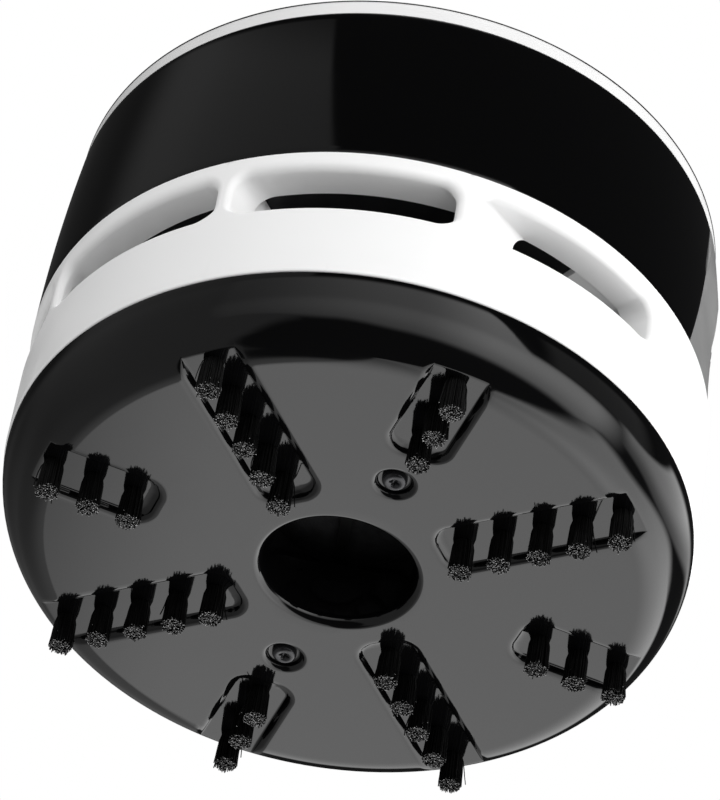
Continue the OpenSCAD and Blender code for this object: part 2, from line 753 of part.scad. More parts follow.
// Fan wheel: hub, back disc and backward-curved blades
module impeller() {
    color("#1f1f22") difference() {
        union() {
            translate([0, 0, impeller_disc_z]) cylinder(r = impeller_r + 0.4, h = impeller_disc_t);
            translate([0, 0, blade_z + 1])
                cylinder(r1 = hub_r - 1.2, r2 = hub_r, h = impeller_disc_z - blade_z - 1);
            for (k = [0:blade_count - 1]) rotate(k * 360 / blade_count)
                translate([0, 0, blade_z]) linear_extrude(impeller_disc_z - blade_z + 0.2) blade_outline();
        }
        cylinder(r = shaft_r, h = 100);
    }
}

module blade_outline() {
    intersection() {
        difference() {
            circle(r = impeller_r);
            circle(r = blade_inner_r);
        }
        translate([blade_centre_r, 0]) difference() {
            circle(r = blade_curve_r + blade_t / 2);
            circle(r = blade_curve_r - blade_t / 2);
        }
        translate([0, 1]) square([60, 60]);
    }
}

module motor_shaft() {
    color("#b9babd") translate([0, 0, shaft_z]) cylinder(r = shaft_r, h = motor_top_z + 0.5 - shaft_z);
}

// The motor's cross-section, round with two flats, grown by gap
module motor_outline(gap) {
    intersection() {
        circle(r = motor_w / 2 + gap);
        square([motor_w + 2 * gap, motor_flat_w + 2 * gap], center = true);
    }
}

module motor_can() {
    color("#b4b5b8") difference() {
        union() {
            translate([0, 0, motor_z]) linear_extrude(can_h) motor_outline(0);
            translate([0, 0, motor_z - bearing_h]) cylinder(r = bearing_r, h = bearing_h + eps);
        }
        translate([0, 0, motor_z - 5]) cylinder(r = shaft_r + bearing_gap, h = can_h + 10);
        for (s = [-1, 1]) translate([s * motor_screw_x, 0, motor_z - 1])
            cylinder(r = motor_screw[0] + thread_gap, h = 3.5);
    }
}

module motor_end_cap() {
    color("#e6e6e2") difference() {
        union() {
            translate([0, 0, cap_z]) linear_extrude(cap_h) motor_outline(-0.3);
            translate([0, 0, motor_top_z - eps]) cylinder(r = bearing_r, h = bearing_top_h);
        }
        translate([0, 0, cap_z - 1]) cylinder(r = shaft_r + bearing_gap, h = cap_h + 5);
        for (s = [-1, 1]) translate([s * (motor_w / 2 - 1.5) - 1.6, -1.3, motor_top_z - 2.4 - terminal_t])
            cube([3.2, 2.6, terminal_t]);
    }
}

// Two brass tabs on the motor's end cap
module motor_terminals() {
    color("#c9a24a") for (s = [-1, 1]) translate([s * (motor_w / 2 + 0.4), 0, motor_top_z - 2.4 - terminal_t])
        difference() {
            translate([-3, -1.3, 0]) cube([6, 2.6, terminal_t]);
            translate([s * 1.6, 0, -1]) cylinder(r = 0.7, h = 3);
        }
}

module motor_screws() {
    color("#8c8c90") for (s = [-1, 1]) translate([s * motor_screw_x, 0, deck_z])
        screw(motor_screw, deck_t + 2.2);
}

// Tray for the two cells: cradles with notches for the wires, end walls, cross bars and feet
module battery_tray() {
    half_l = bay_l / 2;
    side = cell_r + drop_gap + tray_t;
    end_top = cell_z + contact_top;
    color("#202022") intersection() {
        cylinder(r = tray_r, h = end_top);
        difference() {
            union() {
                for (s = [-1, 1]) {
                    translate([-half_l - tray_end_t, s * cell_y - side, tray_floor_z])
                        cube([bay_l + 2 * tray_end_t, 2 * side, cell_z - tray_floor_z]);
                    for (e = [-1, 1]) {
                        translate([e > 0 ? half_l : -half_l - tray_end_t, s * cell_y - 6, tray_floor_z])
                            cube([tray_end_t, 12, end_top - tray_floor_z]);
                        translate([e * tray_foot_x, s * cell_y, deck_top_z])
                            cylinder(r = tray_foot_r, h = tray_floor_z - deck_top_z + 1);
                    }
                }
                for (e = [-1, 1]) translate([e * tray_foot_x - 2.5, -cell_y, tray_floor_z])
                    cube([5, 2 * cell_y, 3]);
            }
            for (s = [-1, 1]) translate([-half_l, s * cell_y, cell_z]) rotate([0, 90, 0])
                cylinder(r = cell_r + drop_gap, h = bay_l);
            for (s = [-1, 1], e = [-1, 1])
                translate([e * (half_l - 1) - 1, s * cell_y - contact_w / 2 - drop_gap, cell_z - contact_top])
                    cube([2, contact_w + 2 * drop_gap, 20]);
            translate([half_l - contact_t - drop_gap, -cell_y, cell_z - 2 - drop_gap])
                cube([contact_t + drop_gap, 2 * cell_y, 4 + 10]);
            for (s = [-1, 1])
                translate([-half_l, s * (cell_y - side + 2) - wire_notch[1] / 2, tray_floor_z - 1])
                    cube(wire_notch);
        }
    }
}

// A cell along +X with its nub at the +X end; dir turns it end for end
module cell(dir) {
    from = bay_l / 2 - contact_t;
    translate([0, 0, cell_z]) rotate([0, 0, dir > 0 ? 0 : 180]) rotate([0, 90, 0]) {
        translate([0, 0, from - cell_l]) cylinder(r = cell_r, h = cell_l - nub_h);
        translate([0, 0, from - nub_h - eps]) cylinder(r = nub_r, h = nub_h + eps);
    }
}

module battery_1() {
    color("#3c3f44") translate([0, cell_y, 0]) cell(-1);
}

module battery_2() {
    color("#3c3f44") translate([0, -cell_y, 0]) cell(1);
}

module contact_plate(e, s) {
    foot = bay_l / 2 - contact_t;
    translate([e > 0 ? foot : -foot - contact_t, s * cell_y - contact_w / 2, cell_z - contact_top])
        cube([contact_t, contact_w, 2 * contact_top]);
}

// Strip that joins the two cells at the +X end
module contact_bridge() {
    color("#c4c5c8") {
        for (s = [-1, 1]) contact_plate(1, s);
        translate([bay_l / 2 - contact_t, -cell_y, cell_z - 2]) cube([contact_t, 2 * cell_y, 4]);
    }
}

module contact_plus() {
    color("#c4c5c8") contact_plate(-1, 1);
}

module contact_minus() {
    color("#c4c5c8") contact_plate(-1, -1);
}

function spring_points(turns, per_turn) = [for (i = [0:turns * per_turn])
    let (f = i / (turns * per_turn), r = spring_foot_r + (spring_tip_r - spring_foot_r) * f,
        a = 360 * i / per_turn)
    [spring_wire_r + (spring_h - 2 * spring_wire_r) * f, r * cos(a), r * sin(a)]];

// Least gap between a spring's turns, measured on its own points
function spring_gap(per_turn) = let (p = spring_points(spring_turns, per_turn))
    min([for (i = [0:len(p) - 1 - per_turn / 2])
        min([for (j = [i + per_turn / 2:len(p) - 1]) norm(p[i] - p[j])])])
    - 2 * spring_wire_r;
echo(least_spring_gap_mm = spring_gap(24));

// Two cone springs, one behind each cell
module contact_springs() {
    foot = bay_l / 2 - contact_t;
    color("#c9cacd") for (e = [-1, 1])
        translate([e * foot, e * cell_y, cell_z]) rotate([0, 0, e > 0 ? 180 : 0])
        tube(spring_points(spring_turns, 8), spring_wire_r, 6, [1, 0, 0]);
}

// Slide knob with grip ridges, and its stem through the barrel's wall
module switch_slider() {
    face_y = switch_wall_y - knob_lift - knob_reach;
    color("#151517") translate([0, 0, switch_z]) difference() {
        union() {
            translate([-knob_w / 2, face_y, -knob_h / 2]) cube([knob_w, knob_reach, knob_h]);
            translate([-stem_w / 2, switch_wall_y - knob_lift - eps, -stem_w / 2])
                cube([stem_w, stem_l, stem_w]);
        }
        for (k = [-1.5:1:1.5]) translate([-knob_w / 2 - 1, face_y - 1, k * knob_h / 5 - 0.4])
            cube([knob_w + 2, 1.5, 0.8]);
    }
}

// Metal box of the slide switch, behind the barrel's wall
module switch_housing() {
    front_y = switch_wall_y + switch_wall_t;
    mid_z = switch_z + switch_travel / 2;
    color("#b4b5b8") difference() {
        translate([-switch_box[0] / 2, front_y, mid_z - switch_box[2] / 2]) cube(switch_box);
        translate([-stem_w / 2 - stem_side, front_y - 1, switch_z - stem_w / 2 - stem_side])
            cube([stem_w + 2 * stem_side, 1 + stem_l - switch_wall_t + 0.4,
                stem_w + switch_travel + 2 * stem_side]);
    }
}

module switch_pins() {
    back_y = switch_wall_y + switch_wall_t + switch_box[1];
    mid_z = switch_z + switch_travel / 2;
    color("#c9a24a") for (k = [-1:1]) translate([-0.75, back_y, mid_z + k * pin_pitch - 0.2])
        cube([1.5, 3.2, 0.4]);
}

// Wires, through points chosen by hand
module wire(points) {
    tube(curve(points, wire_steps), wire_r, wire_sides, [0, 0, 1]);
}

module wire_red() {
    pin_y = switch_wall_y + switch_wall_t + switch_box[1] + 2.6;
    pin_z = switch_z + switch_travel / 2 - pin_pitch;
    color("#b02020") wire([
        [-bay_l / 2 + 0.9, cell_y - 6, cell_z - 3.4], [-bay_l / 2 + 2.4, 8.6, 40.1], [-27, 2, 38.5],
        [-26, -6, 37.5], [-tray_foot_x - 3, -cell_y + 6, 37.2], [-tray_foot_x + 5, -cell_y + 2.5, 37.2],
        [-9, -27, 38],
        [-2.9, pin_y + 1.5, pin_z - 0.6], [-pin_side, pin_y, pin_z]
    ]);
}

module wire_white() {
    pin_y = switch_wall_y + switch_wall_t + switch_box[1] + 2.6;
    pin_z = switch_z + switch_travel / 2;
    color("#d8d8d4") wire([
        [pin_side, pin_y, pin_z], [4, -29, 41], [10, -26.5, 38.5], [15, -17, 37.4], [17, -10, 37.4],
        [15.5, -4, 41], [14.2, -1.5, 48], [13.4, 0, motor_top_z - 3.4]
    ]);
}

module wire_black() {
    color("#1a1a1a") wire([
        [-bay_l / 2 + 0.9, -cell_y + 6, cell_z - 3.4], [-bay_l / 2 + 3.4, -8.8, 40.1], [-18, -6.5, 38.8],
        [-15.5, -4, 41], [-14.2, -1.5, 48], [-13.4, 0, motor_top_z - 3.4]
    ]);
}

brush_plate();
brush_row(1);  // brush_row_1
brush_row(2);  // brush_row_2
brush_row(3);  // brush_row_3
brush_row(4);  // brush_row_4
brush_row(5);  // brush_row_5
brush_row(6);  // brush_row_6
brush_row(7);  // brush_row_7
brush_row(8);  // brush_row_8
plate_screws();
dust_cup();
cup_seal();
filter_frame();
filter_disc();
vent_ring();
intake_plate();
intake_screws();
fan_deck();
deck_screws();
upper_shell();
wrap_band();
battery_cover();
impeller();
motor_shaft();
motor_can();
motor_end_cap();
motor_terminals();
motor_screws();
battery_tray();
battery_1();
battery_2();
contact_bridge();
contact_plus();
contact_minus();
contact_springs();
switch_slider();
switch_housing();
switch_pins();
wire_red();
wire_black();
wire_white();
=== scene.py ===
# Desktop mini vacuum cleaner, seen from below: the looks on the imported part.
# Sizes are millimetres in the part's frame: bristle tips at z 0, the switch panel towards -Y.
import math

import bmesh
import bpy
import numpy as np
from mathutils import Matrix, Vector


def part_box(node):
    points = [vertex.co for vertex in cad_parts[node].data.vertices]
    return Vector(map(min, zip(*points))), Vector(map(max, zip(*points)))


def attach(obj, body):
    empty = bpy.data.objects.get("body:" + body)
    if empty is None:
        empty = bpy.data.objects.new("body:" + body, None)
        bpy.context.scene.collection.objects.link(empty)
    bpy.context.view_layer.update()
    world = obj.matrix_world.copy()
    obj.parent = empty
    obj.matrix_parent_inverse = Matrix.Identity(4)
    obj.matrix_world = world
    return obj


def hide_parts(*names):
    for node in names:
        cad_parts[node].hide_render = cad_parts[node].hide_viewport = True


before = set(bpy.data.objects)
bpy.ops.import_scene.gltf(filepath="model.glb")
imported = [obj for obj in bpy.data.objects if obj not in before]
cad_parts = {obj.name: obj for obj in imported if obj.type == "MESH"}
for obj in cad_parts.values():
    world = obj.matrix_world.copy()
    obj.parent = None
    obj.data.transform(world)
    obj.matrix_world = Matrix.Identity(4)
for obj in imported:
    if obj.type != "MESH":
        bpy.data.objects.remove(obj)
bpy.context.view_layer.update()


# ---- Brush plate ----
# The black underside, one glossy ABS moulding: a flat face with a rounded shoulder, eight shallow
# troughs with rolled edges for the tufts, two screw dimples, and the suction tube in the middle.
MM = 0.001
PLATE_Z = 4.0
FLAT_R = 35.95
SHOULDER_R = 5.0
JOIN_DEG = -40.45
WALL_ARC_AT = (31.493, 12.8)
WALL_ARC_R = 10.857
SEAM_R = 42.35
SHELL_INSET = 1.8
TROUGH_DEPTH = 0.85
TROUGH_HALF_W = 3.5
TROUGH_CORNER = 2.4
TROUGH_END = 2.9
SIDE_WALL, END_WALL, DIMPLE_WALL = (0.25, 0.25, 1.0), (1.4, 0.55, 0.9), (0.3, 0.3, 0.8)
LONG_ROW, SHORT_ROW = 5, 3
LAST_TUFT_R = 36.84
TUFT_PITCH = 5.11
ROW_DEG = [60, 150, 240, 330, 15, 105, 195, 285]
SECTOR_DEG = 22.5
GRID_R = 39.6
LIP_R, MOUTH_R, LIP_H = 10.45, 9.3, 1.5
TUBE_R, TUBE_TOP = 10.9, 13.6
DIMPLE_AT, DIMPLE_R, DIMPLE_DEPTH = 18.1, 2.1, 1.0
DIMPLE_ROWS = (4, 6)
RING_SPLIT_R, LONG_TURN_R, SHORT_TURN_R = 21.5, 17.5, 27.0
TUBE_ROUND = 0.3


class Value:
    """A shader value. Python's operators on it add Math nodes."""

    def __init__(self, nodes, socket):
        self.nodes, self.socket = nodes, socket

    def maths(self, operation, *values):
        return self.nodes.node("ShaderNodeMath", {"operation": operation}, dict(enumerate(values)))

    def __add__(self, other):
        return self.maths("ADD", self, other)

    def __sub__(self, other):
        return self.maths("SUBTRACT", self, other)

    def __rsub__(self, other):
        return self.maths("SUBTRACT", other, self)

    def __mul__(self, other):
        return self.maths("MULTIPLY", self, other)

    __radd__, __rmul__ = __add__, __mul__

    def over(self, other):
        """The larger of two values."""
        return self.maths("MAXIMUM", self, other)

    def step(self, low, high, to_low=0.0, to_high=1.0):
        """to_low below low, to_high above high, and a smooth change between them."""
        ends = {"From Min": low, "From Max": high, "To Min": to_low, "To Max": to_high}
        kind = {"interpolation_type": "SMOOTHSTEP"}
        return self.nodes.node("ShaderNodeMapRange", kind, {"Value": self, **ends})


class Nodes:
    """A node tree, in which one method makes every node."""

    def __init__(self, tree):
        self.tree = tree

    def node(self, kind, settings, sockets, out=0):
        made = self.tree.nodes.new(kind)
        for name, value in settings.items():
            setattr(made, name, value)
        for name, value in sockets.items():
            if isinstance(value, Value):
                self.tree.links.new(value.socket, made.inputs[name])
            else:
                made.inputs[name].default_value = value
        return Value(self, made.outputs[out])


class Finish(Nodes):
    """One material: a Principled shader and what varies over its surface."""

    def __init__(self, name, colour, roughness, **fixed):
        self.material = bpy.data.materials.new(name)
        self.material.use_nodes = True
        super().__init__(self.material.node_tree)
        self.shader = self.tree.nodes["Principled BSDF"]
        self.colour = (*colour, 1)
        self.shader.inputs["Base Color"].default_value = self.colour
        self.shader.inputs["Roughness"].default_value = roughness
        self.material.diffuse_color = self.colour
        for socket, value in fixed.items():
            self.shader.inputs[socket.replace("_", " ")].default_value = value
        self.place = self.node("ShaderNodeTexCoord", {}, {}, out="Object")

    def noise(self, size, detail=2.0, place=None):
        """Soft random values from 0 to 1, with features about size mm across."""
        sockets = {"Vector": place or self.place, "Scale": 1 / (size * MM), "Detail": detail}
        return self.node("ShaderNodeTexNoise", {}, sockets)

    def vary(self, socket, value):
        self.tree.links.new(value.socket, self.shader.inputs[socket])

    def wear(self, size, low, high, detail=2.0, place=None):
        """Roughness drifts from low to high over patches about size mm across."""
        self.vary("Roughness", self.noise(size, detail, place).step(0.3, 0.7, low, high))

    def tint(self, share, other):
        """Base Color goes from the finish's own colour to another one by share."""
        sockets = {0: share, 6: self.colour, 7: (*other, 1)}
        self.vary("Base Color", self.node("ShaderNodeMix", {"data_type": "RGBA"}, sockets, out=2))

    def dent(self, height, depth, strength=1.0):
        """A fine relief, depth mm deep where height is 1."""
        sockets = {"Height": height, "Distance": depth * MM, "Strength": strength}
        self.vary("Normal", self.node("ShaderNodeBump", {}, sockets))


def piece_from(name, grids, finishes, sharp_deg=35):
    """One welded mesh from grids of points; each grid comes with the index of its finish."""
    points, quads, marks, base = [], [], [], 0
    for grid, mark in grids:
        rows, cols = grid.shape[:2]
        at = base + np.arange(rows * cols).reshape(rows, cols)
        faces = np.stack([at[:-1, :-1], at[1:, :-1], at[1:, 1:], at[:-1, 1:]], -1).reshape(-1, 4)
        points.append(grid.reshape(-1, 3))
        quads.append(faces)
        marks.append(np.full(len(faces), mark))
        base += rows * cols
    mesh = bpy.data.meshes.new(name)
    mesh.from_pydata((np.vstack(points) * MM).tolist(), [], np.vstack(quads).tolist())
    mesh.polygons.foreach_set("material_index", np.concatenate(marks).astype(np.int32))
    shape = bmesh.new()
    shape.from_mesh(mesh)
    bmesh.ops.remove_doubles(shape, verts=shape.verts, dist=0.002 * MM)
    bmesh.ops.recalc_face_normals(shape, faces=shape.faces)
    shape.to_mesh(mesh)
    shape.free()
    mesh.shade_smooth()
    mesh.set_sharp_from_angle(angle=math.radians(sharp_deg))
    for finish in finishes:
        mesh.materials.append(finish.material)
    made = bpy.data.objects.new(name, mesh)
    bpy.context.scene.collection.objects.link(made)
    return made


def fit(made, body, node):
    """The piece stands for a CAD node, whose mesh is hidden, and rides on its body."""
    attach(made, body)
    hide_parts(node)


def at_degrees(radius, degrees, z):
    """Points on circles round the Z axis; radius, degrees and z have one shape between them."""
    a = np.radians(degrees)
    return np.stack(np.broadcast_arrays(radius * np.cos(a), radius * np.sin(a), z), -1)


def lathe(profile, degrees):
    """A profile of (radius, z) turned through a list of angles."""
    r, z = np.array(profile, float).T
    return at_degrees(r[:, None], np.asarray(degrees, float)[None, :], z[:, None])


def arc(centre, radius, start_deg, end_deg, steps):
    """Points of an arc in the plane of a profile."""
    a = np.radians(np.linspace(start_deg, end_deg, steps + 1))
    return [(centre[0] + radius * c, centre[1] + radius * s) for c, s in zip(np.cos(a), np.sin(a))]


def turned(grid, degrees):
    """A grid turned about the Z axis."""
    c, s = math.cos(math.radians(degrees)), math.sin(math.radians(degrees))
    return grid @ np.array([[c, s, 0], [-s, c, 0], [0, 0, 1]])


def rolled_wall(depth, foot_w, foot_h, lip_w):
    """A hollow's wall as (distance outside the wall, share of the depth), from floor to face."""
    lip_h = depth - foot_h
    foot = [(-foot_w + foot_w * math.cos(a), 1 - (foot_h - foot_h * math.sin(a)) / depth)
            for a in np.linspace(math.pi / 2, 0, 8)]
    lip = [(lip_w - lip_w * math.cos(a), (lip_h - lip_h * math.sin(a)) / depth)
           for a in np.linspace(0, math.pi / 2, 10)]
    return np.array(foot + lip)


def plate_level(r):
    """Height of the plate's underside at a radius, out to the edge of the fine grid."""
    out = np.clip(r - FLAT_R, 0, SHOULDER_R - 0.01)
    return PLATE_Z + SHOULDER_R - np.sqrt(SHOULDER_R**2 - out**2)


def sunk(x, y, share):
    """Points of the underside, share of a trough's depth down, which fades out on the shoulder."""
    level = plate_level(np.hypot(x, y))
    room = PLATE_Z + TROUGH_DEPTH - level
    depth = (room + np.sqrt(room**2 + 0.05**2)) / 2
    return np.stack([x, y, level + depth * share], -1)


def trough_grid(tufts, inner_r, turn_r):
    """Half of one trough's sector: lines run along the trough, round its end and back."""
    wall = rolled_wall(TROUGH_DEPTH, *SIDE_WALL)
    spoon = rolled_wall(TROUGH_DEPTH, *END_WALL)
    start = LAST_TUFT_R - (tufts - 1) * TUFT_PITCH - TROUGH_END
    bend_x = start + TROUGH_CORNER
    inside = np.array([0, 0.2, 0.4, 0.6, 0.8, 0.93])
    outside = np.array([0.05, 0.12, 0.2, 0.3, 0.42, 0.56, 0.7, 0.85, 1])
    shoulder = np.arange(GRID_R, FLAT_R - 0.4, -0.15)
    legs = [(r, r, 1.0) for r in shoulder]
    for t in np.linspace(0, 1, 30)[1:]:
        r = shoulder[-1]
        legs.append((r + t * (bend_x - r), r + t * (turn_r - r), 1 - t))
    columns = []
    for along, ray_r, round_share in legs:
        y = np.concatenate([inside * (TROUGH_HALF_W + wall[0, 0]), TROUGH_HALF_W + wall[:, 0]])
        x = along - round_share * (along - np.sqrt(along**2 - y**2))
        columns.append((x, y, ray_r, SECTOR_DEG, wall[:, 1]))
    turns = [((bend_x, TROUGH_HALF_W - TROUGH_CORNER), a) for a in np.linspace(0, 90, 25)[1:]]
    turns += [((bend_x, y), 90) for y in np.linspace(TROUGH_HALF_W - TROUGH_CORNER, 0, 9)[1:]]
    ray_count = 12
    for i, (centre, deg) in enumerate(turns):
        blend = min(1.0, (i + 1) / 20)
        blend = blend * blend * (3 - 2 * blend)
        ending = wall * (1 - blend) + spoon * blend
        reach = TROUGH_CORNER + ending[:, 0]
        edge_x = centre[0] - reach * math.sin(math.radians(deg))
        edge_y = centre[1] + reach * math.cos(math.radians(deg))
        x = np.concatenate([bend_x + inside * (edge_x[0] - bend_x), edge_x])
        y = np.concatenate([inside * edge_y[0], edge_y])
        if i < ray_count:
            ray_r = turn_r + (inner_r - turn_r) * (i + 1) / ray_count
            columns.append((x, y, ray_r, SECTOR_DEG, ending[:, 1]))
        else:
            left = (i + 1 - ray_count) / (len(turns) - ray_count)
            columns.append((x, y, inner_r, SECTOR_DEG * (1 - left), ending[:, 1]))
    grid, depths = [], []
    for x, y, ray_r, ray_deg, share in columns:
        r0, a0 = math.hypot(x[-1], y[-1]), math.degrees(math.atan2(y[-1], x[-1]))
        r = r0 + outside * (ray_r - r0)
        a = np.radians(a0 + outside * (ray_deg - a0))
        grid.append((np.concatenate([x, r * np.cos(a)]), np.concatenate([y, r * np.sin(a)])))
        depths.append(np.concatenate([np.ones(len(inside)), share, np.zeros(len(outside))]))
    xs, ys = np.array([g[0] for g in grid]), np.array([g[1] for g in grid])
    inner_deg = [c[3] for c in columns if c[2] == inner_r]
    return sunk(xs, ys, np.array(depths)), inner_deg


def both_sides(half):
    """A half sector and its mirror image across the trough's middle."""
    return [half, half * np.array([1, -1, 1])]


long_half, long_deg = trough_grid(LONG_ROW, LIP_R, LONG_TURN_R)
short_half, short_deg = trough_grid(SHORT_ROW, RING_SPLIT_R, SHORT_TURN_R)
fan_deg = np.array(sorted(short_deg + [-a for a in short_deg if a]))
lip_deg = np.array(sorted(long_deg + [-a for a in long_deg if a]))


def dimple_grid():
    """The field between the mouth and a short trough, with lines round the screw's dimple."""
    steps = np.linspace(RING_SPLIT_R, LIP_R, 14)[1:-1]
    edge = [(RING_SPLIT_R, a) for a in fan_deg] + [(r, SECTOR_DEG) for r in steps]
    edge += [(LIP_R, a) for a in fan_deg[::-1]] + [(r, -SECTOR_DEG) for r in steps[::-1]]
    radii, degrees = np.array(edge + edge[:1]).T
    out = at_degrees(radii, degrees, 0.0)[:, :2] - (DIMPLE_AT, 0)
    reach = np.linalg.norm(out, axis=1, keepdims=True)
    wall = rolled_wall(DIMPLE_DEPTH, *DIMPLE_WALL)
    flat_r = np.linspace(0.01, DIMPLE_R - DIMPLE_WALL[0], 5)[:-1]
    rings = [(r * np.ones_like(reach), 1.0) for r in flat_r]
    rings += [((DIMPLE_R + d) * np.ones_like(reach), share) for d, share in wall]
    first = DIMPLE_R + wall[-1, 0]
    rings += [(first + t * (reach - first), 0.0) for t in (0.1, 0.25, 0.45, 0.7, 1)]
    grid = []
    for radius, share in rings:
        place = (DIMPLE_AT, 0) + out / reach * radius
        grid.append(np.column_stack([place, np.full(len(place), PLATE_Z + DIMPLE_DEPTH * share)]))
    return np.array(grid)


plate_grids = []
for row, deg in enumerate(ROW_DEG):
    halves = both_sides(long_half if row < 4 else short_half)
    if row in DIMPLE_ROWS:
        halves.append(dimple_grid())
    elif row >= 4:
        radii = np.linspace(RING_SPLIT_R, LIP_R, 12)[:, None]
        halves.append(at_degrees(radii, fan_deg[None, :], PLATE_Z))
    plate_grids += [(turned(h, deg), 0) for h in halves]
edge_deg = np.degrees(np.arctan2(long_half[0, :, 1], long_half[0, :, 0]))
edge_deg = np.concatenate([-edge_deg[:0:-1], edge_deg])
round_deg = np.concatenate([edge_deg[:-1] + 45 * k + 15 for k in range(8)] + [[edge_deg[0] + 375]])
low_edge = math.degrees(math.acos((GRID_R - FLAT_R) / SHOULDER_R))
wall_profile = arc((FLAT_R, PLATE_Z + SHOULDER_R), SHOULDER_R, -low_edge, JOIN_DEG, 2)
wall_profile += arc(WALL_ARC_AT, WALL_ARC_R, JOIN_DEG, 0, 30)[1:]
wall_profile += [(SEAM_R - SHELL_INSET, WALL_ARC_AT[1])]
plate_grids.append((lathe(wall_profile, round_deg), 0))
spans = [ROW_DEG[row] + (lip_deg if row < 4 else fan_deg)[:-1] for row in (4, 0, 5, 1, 6, 2, 7, 3)]
lip_angles = np.concatenate(spans + [[ROW_DEG[4] - SECTOR_DEG + 360]])
tube_profile = [(LIP_R - (LIP_R - MOUTH_R) * math.sin(a), PLATE_Z + LIP_H * (1 - math.cos(a)))
                for a in np.linspace(0, math.pi / 2, 13)]
tube_profile += arc((MOUTH_R + TUBE_ROUND, TUBE_TOP - TUBE_ROUND), TUBE_ROUND, 180, 90, 4)
tube_profile += arc((TUBE_R - TUBE_ROUND, TUBE_TOP - TUBE_ROUND), TUBE_ROUND, 90, 0, 4)
tube_profile += [(TUBE_R, PLATE_Z + SHELL_INSET), (FLAT_R, PLATE_Z + SHELL_INSET)]
tube_profile += arc((FLAT_R, PLATE_Z + SHOULDER_R), SHOULDER_R - SHELL_INSET, -90, JOIN_DEG, 8)
tube_profile += arc(WALL_ARC_AT, WALL_ARC_R - SHELL_INSET, JOIN_DEG, 0, 10)
plate_grids.append((lathe(tube_profile, lip_angles), 0))

gloss_black = Finish("gloss black plastic", (0.002, 0.002, 0.0022), 0.05, IOR=1.5)
gloss_black.wear(9, 0.045, 0.075)
gloss_black.dent(gloss_black.noise(5, 1.0), 0.004, 0.35)
brush_plate = piece_from("brush_plate_moulding", plate_grids, [gloss_black], 40)
fit(brush_plate, "dust_cup", "brush_plate")


# ---- Bristle rows ----
# Black nylon bristles, each tuft folded into the plate and trimmed level. The cut ends are pale
# and catch the light, and a few bristles have been pushed out of line by use.
BRISTLES = 240
BRISTLE_R = 0.074
ROOT_R, TIP_SPREAD = 1.2, 1.19
TRIM, ROOT_SINK, STRAYS = 0.3, 0.3, (2, 6)
PINCH = np.array([-0.12, 0.05, 0.03, 0, 0])
GOLDEN_DEG = 137.508
bristle_black = Finish("bristle nylon", (0.003, 0.003, 0.003), 0.45, IOR=1.3)
bristle_black.wear(1.2, 0.34, 0.5)
cut_end = Finish("bristle cut end", (0.01, 0.01, 0.01), 0.5, IOR=1.3)
cut_shade = cut_end.node("ShaderNodeAttribute", {"attribute_name": "paleness"}, {}, out="Fac")
cut_end.tint(cut_shade, (0.3, 0.3, 0.3))


def tuft_bristles(rng, x0):
    """Root, tip and bend of every bristle in the tuft at x0 on the row's line."""
    k = np.arange(BRISTLES)
    radius = ROOT_R * np.sqrt((k + 0.5) / BRISTLES)
    turn = k * math.radians(GOLDEN_DEG) + rng.uniform(0, 6.28)
    root = np.column_stack([x0 + radius * np.cos(turn), radius * np.sin(turn)])
    root += rng.normal(0, 0.02, root.shape)
    lean = rng.normal(0, 0.05, 2)
    tip = (root - (x0, 0)) * rng.normal(TIP_SPREAD, 0.04, (BRISTLES, 1)) + (x0, 0) + lean
    tip += rng.normal(0, 0.05, tip.shape)
    tip_z = np.abs(rng.normal(0, TRIM * 0.7, BRISTLES)) + 0.03
    bend = rng.normal(0, 0.05, (BRISTLES, 2))
    strays = rng.choice(BRISTLES, rng.integers(*STRAYS), replace=False)
    outward = root[strays] - (x0, 0)
    outward = outward / np.linalg.norm(outward, axis=1, keepdims=True)
    tip[strays] += outward * rng.uniform(0.3, 0.9, (len(strays), 1))
    tip_z[strays] += rng.uniform(0.1, 0.9, len(strays))
    bend[strays] += rng.normal(0, 0.25, (len(strays), 2))
    return root, tip, tip_z, bend


